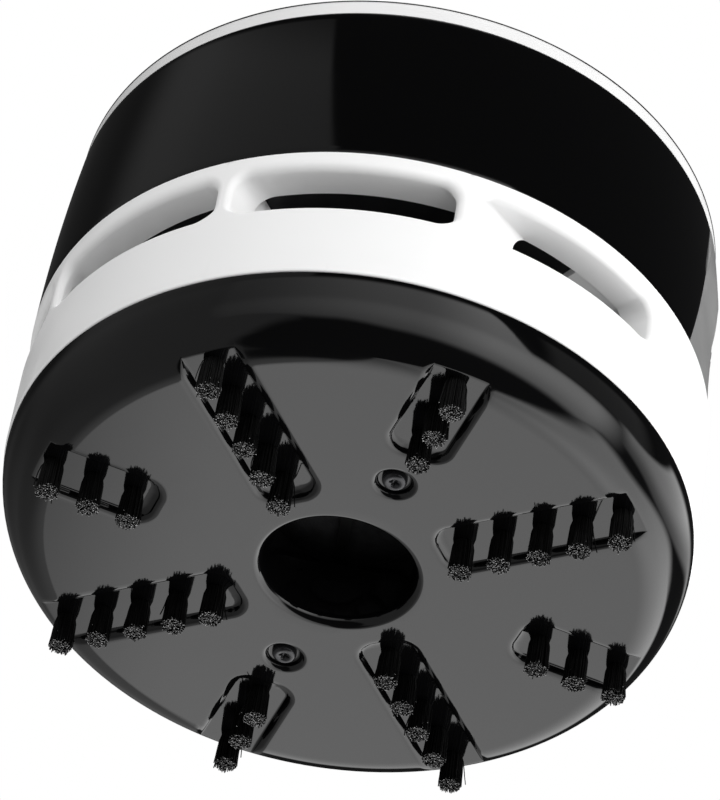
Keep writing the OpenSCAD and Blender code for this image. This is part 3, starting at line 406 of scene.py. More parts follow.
def bristle_row(name, tufts, deg, seed):
    """All bristles of one row as six-sided rods with a cut face at the tip."""
    rng = np.random.default_rng(seed)
    sides, rings = 6, len(PINCH)
    ring_a = np.radians(np.arange(sides) * 60)
    top_z, vertices, faces, marks, pale = PLATE_Z + TROUGH_DEPTH + ROOT_SINK, [], [], [], []
    for t in range(tufts):
        x0 = LAST_TUFT_R - (tufts - 1 - t) * TUFT_PITCH
        root, tip, tip_z, bend = tuft_bristles(rng, x0)
        along = np.linspace(0, 1, rings)[None, :, None]
        middle = root[:, None] + (tip - root)[:, None] * along
        middle = middle + bend[:, None] * along * (1 - along) * 2
        middle += (root - (x0, 0))[:, None] * PINCH[:, None]
        z = top_z + (tip_z[:, None] - top_z) * along[:, :, 0]
        thick = BRISTLE_R * rng.normal(1, 0.06, (BRISTLES, 1)) * np.linspace(1.02, 0.92, rings)
        spin = ring_a[None, None, :] + rng.uniform(0, 6.28, (BRISTLES, 1, 1))
        x = middle[:, :, 0, None] + thick[:, :, None] * np.cos(spin)
        y = middle[:, :, 1, None] + thick[:, :, None] * np.sin(spin)
        slant = rng.normal(0, 0.12, (BRISTLES, 2))
        cut = np.zeros((BRISTLES, rings, sides))
        across = np.stack([x, y], -1)[:, -1] - middle[:, -1, None]
        cut[:, -1] = slant[:, :1] * across[..., 0] + slant[:, 1:] * across[..., 1]
        points = np.stack([x, y, np.maximum(z[:, :, None] + cut, 0.005)], -1).reshape(-1, 3)
        base = len(vertices)
        vertices += points.tolist()
        for b in range(BRISTLES):
            first = base + b * rings * sides
            shade = float(np.clip(rng.normal(0.25, 0.45), 0, 1))
            pale += [shade] * (rings * sides)
            for r in range(rings - 1):
                for s in range(sides):
                    a, c = first + r * sides + s, first + r * sides + (s + 1) % sides
                    faces.append((a, a + sides, c + sides, c))
                    marks.append(0)
            faces.append([first + (rings - 1) * sides + s for s in range(sides)])
            marks.append(1)
    mesh = bpy.data.meshes.new(name)
    mesh.from_pydata((turned(np.array(vertices), deg) * MM).tolist(), [], faces)
    mesh.polygons.foreach_set("material_index", np.array(marks, np.int32))
    paleness = mesh.attributes.new("paleness", "FLOAT", "POINT")
    paleness.data.foreach_set("value", np.array(pale, np.float32))
    mesh.shade_smooth()
    mesh.set_sharp_from_angle(angle=math.radians(65))
    mesh.materials.append(bristle_black.material)
    mesh.materials.append(cut_end.material)
    row = bpy.data.objects.new(name, mesh)
    bpy.context.scene.collection.objects.link(row)
    return row


for row, deg in enumerate(ROW_DEG):
    tufts = LONG_ROW if row < 4 else SHORT_ROW
    bristles = bristle_row(f"bristle_row_{row + 1}", tufts, deg, 40 + row)
    fit(bristles, "dust_cup", f"brush_row_{row + 1}")


# ---- Plate screws ----
# Two small pan-head screws in the dimples, zinc-plated and blackened by handling, with a cross
# recess. They hold the plate to the posts in the dust cup.
HEAD_R, HEAD_H, SCREW_DEG = 1.55, 0.9, (15, 195)
SCREW_Z = PLATE_Z + DIMPLE_DEPTH
DISH_R, DISH_DEPTH, DISH_ROWS = 0.95, 0.3, 34
CROWN_R, HEAD_ROUND, SHANK_R, POINT_R, POINT_H = 1.02, 0.5, 1.0, 0.3, 0.6
ARM_HALF_W, ARM_REACH, ARM_DEPTH = 0.26, 0.72, 0.34
screw_steel = Finish("blackened steel", (0.03, 0.03, 0.032), 0.2, Metallic=0.6)
screw_steel.wear(0.6, 0.16, 0.3)
rounding = HEAD_R - HEAD_ROUND + HEAD_ROUND * np.sin(np.linspace(0.1, 1.57, 10))
r = np.concatenate([np.linspace(0.005, 1.0, DISH_ROWS), rounding])
dome = HEAD_H * np.sqrt(np.clip(1 - ((r - CROWN_R) / (HEAD_R - CROWN_R)) ** 2, 0, 1)) ** 0.8
dish = 0.5 + 0.5 * np.cos(np.pi * np.clip(r[:DISH_ROWS] / DISH_R, 0, 1))
dome[:DISH_ROWS] = HEAD_H - DISH_DEPTH * dish
head = at_degrees(r[:, None], np.linspace(0, 360, 97)[None, :], SCREW_Z - dome[:, None])
u, v = np.abs(head[..., 0]), np.abs(head[..., 1])
arm = np.clip((ARM_HALF_W - np.minimum(u, v)) / 0.16, 0, 1)
arm = arm * np.clip((ARM_REACH - np.maximum(u, v)) / 0.3, 0, 1)
head[..., 2] += ARM_DEPTH * arm * arm * (3 - 2 * arm)
screw_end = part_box("plate_screws")[1].z / MM
shank = [(HEAD_R, SCREW_Z), (SHANK_R, SCREW_Z)]
shank += [(SHANK_R, screw_end - POINT_H), (POINT_R, screw_end)]
shank = lathe(shank, np.linspace(0, 360, 97))
side = np.stack([head[-1], shank[0]])
screw_grids = []
for deg in SCREW_DEG:
    for grid in (head, side, shank):
        screw_grids.append((turned(grid + (DIMPLE_AT, 0, 0), deg), 0))
plate_screws = piece_from("plate_screw_pair", screw_grids, [screw_steel], 50)
fit(plate_screws, "dust_cup", "plate_screws")


# ---- Dust cup, seal and filter ----
# The smoky cup that the crumbs fall into, its rubber ring, and a spoked frame that carries a
# round of dark felt. They keep their CAD shapes and get their finishes here.
def dress(node, finish):
    """A CAD node keeps its shape and gets a finish."""
    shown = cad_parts[node]
    shown.data.materials.clear()
    shown.data.materials.append(finish.material)


smoky = Finish("smoky cup plastic", (0.008, 0.008, 0.009), 0.3, IOR=1.45)
smoky.wear(6, 0.18, 0.3)
dress("dust_cup", smoky)
rubber = Finish("seal rubber", (0.045, 0.045, 0.045), 0.72)
rubber.dent(rubber.noise(0.4), 0.02, 0.4)
dress("cup_seal", rubber)
frame_black = Finish("filter frame plastic", (0.01, 0.01, 0.01), 0.5)
frame_black.wear(3, 0.36, 0.5)
dress("filter_frame", frame_black)
felt = Finish("filter felt", (0.03, 0.03, 0.032), 0.95)
felt.dent(felt.noise(0.35, 5.0), 0.12, 0.8)
felt.tint(felt.noise(1.5, 4.0).step(0.35, 0.7), (0.02, 0.02, 0.021))
dress("filter_disc", felt)


# ---- Vent ring ----
# The satin white ring round the fan, one ABS moulding with seven wide exhaust slots. The slots'
# upper and side edges are softly rounded and their lower edge is crisp, as the tool parted there.
RING_R, RING_IR, SLOT_IR = 42.5, 40.5, 38.0
RING_FOOT, RING_TOP = 12.95, 32.8
SLOT_Z, SLOT_H, SLOT_CORNER = 23.4, 7.0, 2.4
SLOT_DEG, SLOT_STEP = 37.0, 40.0
SLIDE_TURN, SLIDE_LIMIT = 50.0, 60.0
FLANGE_Z, DECK_Z = 21.9, 31.9
FOOT_ROUND = 0.3
MOUTH_ROUND = {"low": 0.22, "side": 0.95, "top": 1.2}
POST_R, BORE_R, POST_FOOT, POST_TOP = 2.2, 0.93, 22.1, 31.7
POST_AT, POST_ROOT, POST_DEG = 34.4, 36.1, (30, 150, 270)
FRONT_LEDGE, FRONT_DEG = (34.4, 38.2, 30.6, 31.8), (215, 325)
LUG_LEDGE, LUG_STOP, LUG_DEG = (38.4, 40.7, 14.15, 15.65), (38.6, 40.7, 13.85, 18.0), (90, 210, 330)
LEDGE_HALF_DEG, STOP_DEG, STOP_SPAN = 9, (-11, 33), 3


def rounded_loop(half_w, half_h, corner, across, up, bend):
    """Points and outward normals round a rounded rectangle, from the middle of its lower edge."""
    w, h = half_w - corner, half_h - corner
    points, normals = [], []

    def straight(a, b, normal, steps):
        for t in np.linspace(0, 1, steps + 1)[:-1]:
            points.append((a[0] + t * (b[0] - a[0]), a[1] + t * (b[1] - a[1])))
            normals.append(normal)

    def turn(centre, start):
        for a in np.radians(np.linspace(start, start + 90, bend + 1)[:-1]):
            points.append((centre[0] + corner * math.cos(a), centre[1] + corner * math.sin(a)))
            normals.append((math.cos(a), math.sin(a)))

    straight((0, -half_h), (w, -half_h), (0, -1), across)
    turn((w, -h), -90)
    straight((half_w, -h), (half_w, h), (1, 0), up)
    turn((w, h), 0)
    straight((w, half_h), (-w, half_h), (0, 1), 2 * across)
    turn((-w, h), 90)
    straight((-half_w, h), (-half_w, -h), (-1, 0), up)
    turn((-w, -h), 180)
    straight((-w, -half_h), (0, -half_h), (0, -1), across)
    return np.array(points + points[:1]), np.array(normals + normals[:1])


def reach_frame(points, normals, x0, x1, y0, y1):
    """Where the normals meet a rectangle; the nearest one moves onto each of its corners."""
    ways = []
    for k, low, high in ((0, x0, x1), (1, y0, y1)):
        n = normals[:, k]
        with np.errstate(divide="ignore", invalid="ignore"):
            way = (np.where(n > 0, high, low) - points[:, k]) / n
        ways.append(np.where(np.abs(n) > 1e-9, way, np.inf))
    met = points + normals * np.minimum(*ways)[:, None]
    for corner in ((x0, y0), (x1, y0), (x1, y1), (x0, y1)):
        met[np.argmin(np.linalg.norm(met - corner, axis=1))] = corner
    met[-1] = met[0]
    return met


def wall_inner_deg(deg):
    """Where a slot's end wall, drawn along the mould slide on its side, meets the inner face."""
    slide = 90 - SLIDE_TURN if deg < 90 else 90 + SLIDE_TURN
    lean = deg - slide
    if abs(lean) > SLIDE_LIMIT:
        return deg
    return slide + math.degrees(math.asin(RING_R / SLOT_IR * math.sin(math.radians(lean))))


def slot_cell(middle_deg):
    """The ring's wall round one slot, from its inner face through the passage to the outer face."""
    half_w = RING_R * math.radians(SLOT_DEG / 2)
    cell_w = RING_R * math.radians(SLOT_STEP / 2)
    loop, normals = rounded_loop(half_w, SLOT_H / 2, SLOT_CORNER, 26, 5, 16)
    loop = loop + (0, SLOT_Z + SLOT_H / 2)
    up = normals[:, 1]
    side = np.clip((up + 0.97) / 0.75, 0, 1)
    top = np.clip(up, 0, 1)
    low_r, side_r, top_r = MOUTH_ROUND["low"], MOUTH_ROUND["side"], MOUTH_ROUND["top"]
    edge = low_r + (side_r - low_r) * side**2 * (3 - 2 * side)
    edge = edge + (top_r - side_r) * top**2 * (3 - 2 * top)
    gap = SLOT_STEP - SLOT_DEG
    starts = [middle_deg - SLOT_DEG / 2 - gap, middle_deg - SLOT_DEG / 2]
    ends = [middle_deg + SLOT_DEG / 2, middle_deg + SLOT_DEG / 2 + gap]
    outer_deg = [starts[0] + gap / 2, starts[1], ends[0], ends[1] - gap / 2]
    inner_deg = [np.mean([wall_inner_deg(a) for a in starts]), wall_inner_deg(starts[1]),
                 wall_inner_deg(ends[0]), np.mean([wall_inner_deg(a) for a in ends])]
    if middle_deg < 90 - 3 * SLOT_STEP + 1:
        inner_deg[0] = outer_deg[0]
    if middle_deg > 90 + 3 * SLOT_STEP - 1:
        inner_deg[3] = outer_deg[3]

    def inside(place):
        degrees = np.interp(middle_deg + np.degrees(place[:, 0] / RING_R), outer_deg, inner_deg)
        return at_degrees(SLOT_IR, degrees, place[:, 1])

    def outside(place, radius):
        return at_degrees(radius, middle_deg + np.degrees(place[:, 0] / RING_R), place[:, 1])

    frame_in = reach_frame(loop, normals, -cell_w, cell_w, FLANGE_Z, DECK_Z)
    frame_out = reach_frame(loop, normals, -cell_w, cell_w, RING_FOOT + FOOT_ROUND, RING_TOP)
    throat_in, throat_out = inside(loop), outside(loop, RING_R - edge)
    grid = [inside(frame_in + t * (loop - frame_in)) for t in (0, 0.5)]
    grid += [throat_in + t * (throat_out - throat_in) for t in (0, 0.25, 0.5, 0.75)]
    for a in np.linspace(0, math.pi / 2, 9):
        rolled = loop + normals * (edge * (1 - math.cos(a)))[:, None]
        grid.append(outside(rolled, RING_R - edge * (1 - math.sin(a))))
    rim = loop + normals * edge[:, None]
    for t in (0.05, 0.12, 0.22, 0.36, 0.52, 0.68, 0.84, 1):
        grid.append(outside(rim + t * (frame_out - rim), RING_R))
    return np.array(grid)


def sector_box(r0, r1, z0, z1, start_deg, end_deg):
    """A curved bar: its four long faces and its two ends."""
    outline = [(r0, z0), (r1, z0), (r1, z1), (r0, z1), (r0, z0)]
    bar = lathe(outline, np.linspace(start_deg, end_deg, max(3, int(end_deg - start_deg))))
    ends = [np.array([[e[0], e[1]], [e[3], e[2]]]) for e in (bar[:, 0], bar[:, -1])]
    return [(grid, 0) for grid in [bar] + ends]


first_slot_deg = 90 - 3 * SLOT_STEP
ring_grids = [(slot_cell(first_slot_deg + k * SLOT_STEP), 0) for k in range(7)]
blind_deg = np.linspace(90 + 3.5 * SLOT_STEP, 450 - 3.5 * SLOT_STEP, 81)
for radius, z0, z1 in ((RING_R, RING_FOOT + FOOT_ROUND, RING_TOP), (SLOT_IR, FLANGE_Z, DECK_Z)):
    ring_grids.append((lathe([(radius, z0), (radius, z1)], blind_deg), 0))
foot_profile = arc((RING_R - FOOT_ROUND, RING_FOOT + FOOT_ROUND), FOOT_ROUND, 0, -90, 5)
foot_profile += [(RING_IR, RING_FOOT), (RING_IR, FLANGE_Z), (SLOT_IR, FLANGE_Z)]
head_profile = [(SLOT_IR, DECK_Z), (RING_IR, DECK_Z), (RING_IR, RING_TOP), (RING_R, RING_TOP)]
whole_turn = np.linspace(0, 360, 361)
ring_grids += [(lathe(profile, whole_turn), 0) for profile in (foot_profile, head_profile)]
# A ledge under the deck at the front, where the ring has no slot.
ring_grids += sector_box(*FRONT_LEDGE, *FRONT_DEG)
# The three screw posts and the webs that join them to the wall.
post = [(BORE_R, POST_FOOT), (POST_R, POST_FOOT), (POST_R, POST_TOP), (BORE_R, POST_TOP)]
post = lathe(post + post[:1], np.linspace(0, 360, 49))
webs = [((POST_AT, -POST_R), (POST_ROOT, -POST_R)), ((POST_ROOT, POST_R), (POST_AT, POST_R))]
for deg in POST_DEG:
    for radius in (POST_AT, POST_ROOT):
        ring_grids.append((turned(post + (radius, 0, 0), deg), 0))
    for web in webs:
        web = np.array([[(x, y, z) for z in (POST_FOOT, POST_TOP)] for x, y in web])
        ring_grids.append((turned(web, deg), 0))
# The bayonet ledges, each with a stop at both ends of its lug's way.
for deg in LUG_DEG:
    ring_grids += sector_box(*LUG_LEDGE, deg - LEDGE_HALF_DEG, deg + LEDGE_HALF_DEG)
    for start in STOP_DEG:
        ring_grids += sector_box(*LUG_STOP, deg + start, deg + start + STOP_SPAN)

satin_white = Finish("satin white plastic", (0.87, 0.87, 0.87), 0.38, IOR=1.48)
satin_white.wear(7, 0.33, 0.45)
satin_white.dent(satin_white.noise(0.5, 1.0), 0.004, 0.4)
vent_ring = piece_from("vent_ring_moulding", ring_grids, [satin_white], 50)
fit(vent_ring, "main_body", "vent_ring")


# ---- Fan, deck and intake plate ----
# Dark inner mouldings seen through the slots: the plate with the guarded intake under the fan,
# the deck that carries the motor, and the fan wheel. They keep their CAD shapes.
inner_black = Finish("matt inner plastic", (0.012, 0.012, 0.013), 0.5)
inner_black.wear(2.5, 0.42, 0.6)
for node in ("intake_plate", "fan_deck", "impeller", "battery_tray"):
    dress(node, inner_black)
bright_screw = Finish("zinc screw", (0.55, 0.55, 0.57), 0.32, Metallic=1.0)
bright_screw.wear(0.5, 0.25, 0.42)
for node in ("intake_screws", "deck_screws", "motor_screws"):
    dress(node, bright_screw)


# ---- Barrel and switch well ----
# The white barrel: a slightly bowed ABS wall, the rim that the cover sits in, with a thin
# gloss black ring along its top edge that is painted shade, standing for the shaded upper
# rounding of the rim, and at the front a grey panel, flush with the band, whose sunk well has
# the slot for the switch.
BAND_Z, RIM_Z, RIM_TOP = 32.8, 58.8, 61.35
BOW_R = 282.0
BAND_T = 0.6
SEAT_R, SEAT_Z, RIM_IR = 40.3, 60.6, 38.8
WELL_HALF, WELL_MID_Z, WELL_FLOOR = (6.8, 7.5), 45.5, 39.6
STEM_HALF, WALL_BACK = (1.7, 3.7), 37.8
WELL_CORNER, STEM_CORNER = 0.8, 0.3
BOSS, BOSS_FRONT = (-8.3, 8.3, 36.5, 54.5), 40.3
PANEL_HALF_W = 22.0
SWELL_Z, PANEL_SWELL = (34, 39, 45, 52, 58.8), (-0.42, -0.48, -0.4, 0.36, 0.05)
FOOT_HALF_W, TOP_HALF_W = 20.47, 14.1
WELL_ROUND, STEM_ROUND = 0.3, 0.15
PAD_GAP, PAD_ROUND, PAD_EDGE = 0.04, 0.08, 0.1
BARREL_WALL, SEAT_CHAMFER = 1.8, 0.1
DECK_SEAT_R, RING_SEAT_R, LANDING_Z = 38.95, 40.35, 33.0
# The painted shade line: a thin gloss black ring on the rim's top edge, in place of the shade on
# its upper rounding.
SHADE_LINE_HEIGHT, SHADE_LINE_PROUD, SHADE_LINE_ROUND = 0.22, 0.08, 0.06


def barrel_r(z):
    """Radius of the barrel's side, and of the band's face, at a level."""
    return RING_R - BOW_R + np.sqrt(BOW_R**2 - (z - BAND_Z) ** 2)


def band_end(z):
    """Half the panel's width at a level, up to the band's slanted end."""
    return FOOT_HALF_W + (TOP_HALF_W - FOOT_HALF_W) * (z - BAND_Z) / (RIM_Z - BAND_Z)


def face_y(x, z):
    """The panel's face, which swells a little past the band near its top."""
    return -np.sqrt((barrel_r(z) + np.interp(z, SWELL_Z, PANEL_SWELL)) ** 2 - x**2)


well, well_n = rounded_loop(*WELL_HALF, WELL_CORNER, 8, 8, 22)
stem, stem_n = rounded_loop(*STEM_HALF, STEM_CORNER, 8, 8, 22)
panel = reach_frame(well + (0, WELL_MID_Z), well_n, -PANEL_HALF_W, PANEL_HALF_W, BAND_Z, RIM_Z)
well_at, stem_at = well + (0, WELL_MID_Z), stem + (0, WELL_MID_Z)
boss = reach_frame(stem_at, stem_n, *BOSS)
layers = [(boss, -BOSS_FRONT), (boss, -WALL_BACK), (stem_at, -WALL_BACK)]
slot_edge = stem_at + STEM_ROUND * stem_n
layers += [(stem_at, -WELL_FLOOR + STEM_ROUND), (slot_edge, -WELL_FLOOR)]
floor_edge = well_at - WELL_ROUND * well_n
layers += [(slot_edge + t * (floor_edge - slot_edge), -WELL_FLOOR) for t in (0.3, 0.6, 1)]
for a in np.linspace(0, math.pi / 2, 6)[1:]:
    place = well_at - WELL_ROUND * (1 - math.sin(a)) * well_n
    layers.append((place, -WELL_FLOOR - WELL_ROUND * (1 - math.cos(a))))
for a in np.linspace(0, math.pi / 2, 7):
    place = well_at + WELL_ROUND * (1 - math.cos(a)) * well_n
    layers.append((place, face_y(*place.T) + WELL_ROUND * (1 - math.sin(a))))
rim_line = layers[-1][0]
narrow = (band_end(panel[:, 1]) - PAD_GAP) / PANEL_HALF_W
pad = panel * np.column_stack([narrow, np.ones(len(panel))])
pad_top = pad * (1 - PAD_EDGE / TOP_HALF_W, 1)
for t in np.linspace(0, 1, 25)[1:]:
    place = rim_line + t * (pad_top - rim_line)
    layers.append((place, face_y(*place.T)))
layers.append((pad, face_y(*pad.T) + PAD_ROUND))
for place in (pad, panel):
    layers.append((place, -np.sqrt((barrel_r(place[:, 1]) - BAND_T) ** 2 - place[:, 0] ** 2)))
front_rows = [np.column_stack([p[:, 0], np.broadcast_to(y, len(p)), p[:, 1]]) for p, y in layers]
side_z = np.unique(np.round(panel[panel[:, 0] > PANEL_HALF_W - 1e-6][:, 1], 6))
side_r = barrel_r(side_z) - BAND_T
half_deg = np.degrees(np.arcsin(PANEL_HALF_W / side_r))[:, None]
back_deg = 270 + half_deg + np.linspace(0, 1, 241) * (360 - 2 * half_deg)


def side_line(levels, inset=0.0):
    """Points of the barrel's profile at some levels, moved inwards by inset."""
    return [(float(barrel_r(z)) - inset, z) for z in levels]


rim_profile = side_line([RIM_Z], BAND_T) + side_line([RIM_Z, 59.4, 60.2, RIM_TOP - 0.35])
rim_r, shade_line_z, seat_top_r = float(barrel_r(RIM_TOP)), RIM_TOP - SHADE_LINE_HEIGHT, SEAT_R + SEAT_CHAMFER
rim_profile += [(rim_r, shade_line_z), (seat_top_r, shade_line_z), (seat_top_r, RIM_TOP)]
rim_profile += [(SEAT_R, RIM_TOP - SEAT_CHAMFER), (SEAT_R, SEAT_Z), (RIM_IR, SEAT_Z)]
rim_profile += [(RIM_IR, RIM_Z - 1)]
rim_profile += side_line(np.linspace(RIM_Z - 1.5, BAND_Z + 1, 12), BAND_T + BARREL_WALL)
rim_profile += [(DECK_SEAT_R, LANDING_Z), (DECK_SEAT_R, DECK_Z), (RING_SEAT_R, DECK_Z)]
rim_profile += [(RING_SEAT_R, BAND_Z)]
rim_profile += [(RING_R - BAND_T, BAND_Z)]
# Painted shade: a gloss black ring over the rim's top edge stands for the shaded upper rounding of
# the rim.
shade_line_r = rim_r + SHADE_LINE_PROUD
shade_line_profile = [(rim_r, shade_line_z), (shade_line_r, shade_line_z), (shade_line_r, RIM_TOP - SHADE_LINE_ROUND)]
shade_line_profile += [(shade_line_r - SHADE_LINE_ROUND, RIM_TOP), (seat_top_r, RIM_TOP)]
barrel_grids = [(np.array(front_rows), 1)]
barrel_grids.append((at_degrees(side_r[:, None], back_deg, side_z[:, None]), 0))
barrel_grids.append((lathe(rim_profile, whole_turn), 0))
barrel_grids.append((lathe(shade_line_profile, whole_turn), 2))
panel_grey = Finish("panel grey plastic", (0.2, 0.2, 0.2), 0.4, IOR=1.5)
panel_grey.wear(6, 0.36, 0.45)
barrel_white = Finish("barrel white plastic", (0.78, 0.78, 0.78), 0.38, IOR=1.48)
barrel_white.wear(7, 0.33, 0.45)
barrel = piece_from("barrel_moulding", barrel_grids, [barrel_white, panel_grey, gloss_black], 50)
fit(barrel, "main_body", "upper_shell")


# ---- Black band ----
# A thin glossy black sleeve wrapped round the barrel. It stops short on both sides of the switch
# with slanted ends, so that the grey panel shows between them.
BAND_EDGE, END_DEPTH, BAND_STEPS = 0.12, 0.45, 240
z_rows = np.linspace(BAND_Z + BAND_EDGE, RIM_Z - BAND_EDGE, 25)
corner = [(1 - math.sin(a), 1 - math.cos(a)) for a in (0.4, 0.8, 1.2)]
corner = [(BAND_EDGE * deep, BAND_EDGE * rise) for deep, rise in corner]
section = [(-BAND_T, BAND_Z), (-BAND_EDGE, BAND_Z)]
section += [(-deep, BAND_Z + rise) for deep, rise in corner]
section += [(0.0, z) for z in z_rows]
section += [(-rise, RIM_Z - deep) for deep, rise in corner]
section += [(-BAND_EDGE, RIM_Z), (-BAND_T, RIM_Z), (-BAND_T, (BAND_Z + RIM_Z) / 2)]
section += [(-BAND_T, BAND_Z)]
offset, level = np.array(section).T
end_deg = np.degrees(np.arcsin(band_end(level) / barrel_r(level)))
edge_a = np.linspace(0, math.pi / 2, 5)
end_inset = BAND_EDGE * (1 - np.sin(edge_a))
inset = np.concatenate([end_inset, np.zeros(BAND_STEPS - 1), end_inset[::-1]])
creep = np.degrees(BAND_EDGE * (1 - np.cos(edge_a)) / RING_R)
span = 360 - 2 * end_deg[:, None]
inner_share = np.linspace(0, 1, BAND_STEPS + 1)[None, 1:-1]
columns = np.concatenate([
    end_deg[:, None] + creep[None, :],
    end_deg[:, None] + inner_share * span,
    360 - end_deg[:, None] - creep[None, ::-1],
], axis=1) + 270
offset, level = offset[:, None], level[:, None]
skin_r = barrel_r(level) + np.maximum(offset - inset * (offset > -0.5), -BAND_T)
band_grid = at_degrees(skin_r, columns, level)
caps = []
for end in (0, -1):
    outer = band_grid[1:-3, end]
    radius = np.hypot(outer[:, 0], outer[:, 1])
    shrink = (radius - END_DEPTH) / radius
    inner = outer * np.column_stack([shrink, shrink, np.ones(len(outer))])
    caps.append((np.stack([outer, inner]), 0))
wrap_band = piece_from("wrap_band_sleeve", [(band_grid, 0)] + caps, [gloss_black], 40)
fit(wrap_band, "main_body", "wrap_band")


# ---- Battery cover ----
# The glossy black lid that drops into the rim: a flat top with a small rolled edge, a finger
# notch at the front, a skirt and two ribs that hold the cells down.
LID_R, LID_TOP, LID_LIP_Z = 40.15, 61.6, 60.65
LID_T = 1.6
SKIRT_R, SKIRT_T, SKIRT_Z = 38.55, 1.4, 58.05
NOTCH_R, NOTCH_DEPTH, NOTCH_DEG = 20.0, 1.4, (250, 290)
LID_EDGE = 0.35
CELL_Y = 17.0
RIB_Z, RIB_HALF_L, RIB_HALF_T = 57.25, 15, 0.8
plain_deg = np.linspace(NOTCH_DEG[1] - 360, NOTCH_DEG[0], 241)
lid_deg = np.concatenate([plain_deg, np.linspace(*NOTCH_DEG, 241)[1:]])
notch_y = LID_R + NOTCH_R - NOTCH_DEPTH
down = -np.sin(np.radians(lid_deg))
inside_root = (notch_y * down) ** 2 - notch_y**2 + NOTCH_R**2
notch_reach = notch_y * down - np.sqrt(np.maximum(inside_root, 0))
notch_reach = np.where((inside_root > 0) & (down > 0), notch_reach, LID_R)
lid_reach = np.minimum(LID_R, notch_reach)
top_rows = [(lid_reach * t, LID_TOP) for t in (0.001, 0.3, 0.6, 0.8, 0.92)]
for a in np.linspace(0, math.pi / 2, 7):
    edge_r = lid_reach - LID_EDGE * (1 - math.sin(a))
    top_rows.append((edge_r, LID_TOP - LID_EDGE * (1 - math.cos(a))))
top_rows += [(lid_reach, LID_LIP_Z), (np.minimum(lid_reach, SKIRT_R), LID_LIP_Z)]
skirt_ir = SKIRT_R - SKIRT_T
skirt = [(SKIRT_R, LID_LIP_Z - 0.05), (SKIRT_R, SKIRT_Z + 0.3), (SKIRT_R - 0.3, SKIRT_Z)]
skirt += [(skirt_ir, SKIRT_Z), (skirt_ir, LID_TOP - LID_T), (0.05, LID_TOP - LID_T)]
top_rows += [(np.full_like(lid_reach, r), z) for r, z in skirt]
lid_grids = [(np.array([at_degrees(r, lid_deg, z) for r, z in top_rows]), 0)]
rib = np.array([(-1, -1), (1, -1), (1, 1), (-1, 1), (-1, -1)]) * (RIB_HALF_L, RIB_HALF_T)
for y in (-CELL_Y, CELL_Y):
    walls = [[(*c, z) for c in rib + (0, y)] for z in (RIB_Z, LID_TOP - LID_T + 0.2)]
    walls = np.array(walls)
    lid_grids += [(walls, 0), (walls[0][[0, 1, 3, 2]].reshape(2, 2, 3), 0)]
battery_lid = piece_from("battery_lid", lid_grids, [gloss_black], 40)
fit(battery_lid, "cover", "battery_cover")


# ---- Switch ----
# A black slide with four grip grooves that runs in the well, on a stem through the barrel's wall.
# Behind the wall sits the metal slide switch with its solder pins.
KNOB_HALF = (4.8, 4.0)
KNOB_Z, KNOB_BACK, KNOB_FACE = 43.5, 39.7, 41.6
KNOB_EDGE = 0.5
GROOVE_PITCH, GROOVE_HALF, GROOVE_DEPTH, GROOVE_SIDE = 1.6, 0.4, 0.45, 0.22
KNOB_STEM_HALF, STEM_LENGTH = 1.5, 4.0
edge = KNOB_EDGE * (1 - np.cos(np.linspace(0, math.pi / 2, 7)))
x_line = [edge - KNOB_HALF[0], np.linspace(-4.2, 4.2, 15), KNOB_HALF[0] - edge[::-1]]
z_line = [edge - KNOB_HALF[1], np.linspace(-3.45, 3.45, 90), KNOB_HALF[1] - edge[::-1]]
xx, zz = np.meshgrid(np.concatenate(x_line), np.concatenate(z_line))
off_x = np.clip(KNOB_EDGE - (KNOB_HALF[0] - np.abs(xx)), 0, None)
off_z = np.clip(KNOB_EDGE - (KNOB_HALF[1] - np.abs(zz)), 0, None)
length = np.maximum(np.hypot(off_x, off_z), 1e-9)
pull = np.minimum(1, KNOB_EDGE / length)
xx = np.sign(xx) * (np.abs(xx) - off_x * (1 - pull))
zz = np.sign(zz) * (np.abs(zz) - off_z * (1 - pull))
drop = KNOB_EDGE - np.sqrt(np.maximum(KNOB_EDGE**2 - (length * pull) ** 2, 0))
groove = np.zeros_like(zz)
for k in (-1.5, -0.5, 0.5, 1.5):
    off = np.abs(zz - k * GROOVE_PITCH) - GROOVE_HALF
    near = np.clip(1 - (off + GROOVE_SIDE) / GROOVE_SIDE, 0, 1)
    groove = np.maximum(groove, near * near * (3 - 2 * near))
sink = np.maximum(drop, GROOVE_DEPTH * groove)
knob = np.stack([xx, -KNOB_FACE + sink, KNOB_Z + zz], -1)
ring = np.concatenate([knob[0], knob[1:, -1], knob[-1, -2::-1], knob[-2::-1, 0]])
back = ring * (1, 0, 1) - (0, KNOB_BACK, 0)
knob_grids = [(knob, 0), (np.stack([ring, back]), 0)]
knob_grids.append((np.stack([back, back * (0, 1, 0) + (0, 0, KNOB_Z)]), 0))
stem_square = np.array([(-1, -1), (1, -1), (1, 1), (-1, 1), (-1, -1)]) * KNOB_STEM_HALF
stem_back = -KNOB_BACK + STEM_LENGTH
stem_ends = ((1, -KNOB_BACK - 0.01), (1, stem_back), (0.01, stem_back))
stem_rows = [[(x * t, y, KNOB_Z + z * t) for x, z in stem_square] for t, y in stem_ends]
knob_grids.append((np.array(stem_rows), 0))
grip_black = Finish("grip plastic", (0.012, 0.012, 0.012), 0.3)
grip_black.wear(1.5, 0.24, 0.4)
switch_knob = piece_from("switch_knob", knob_grids, [grip_black], 40)
fit(switch_knob, "switch", "switch_slider")
tin = Finish("tinned steel", (0.6, 0.6, 0.6), 0.3, Metallic=1.0)
tin.wear(1.2, 0.22, 0.45, 4.0)
for node in ("switch_housing", "switch_pins"):
    dress(node, tin)


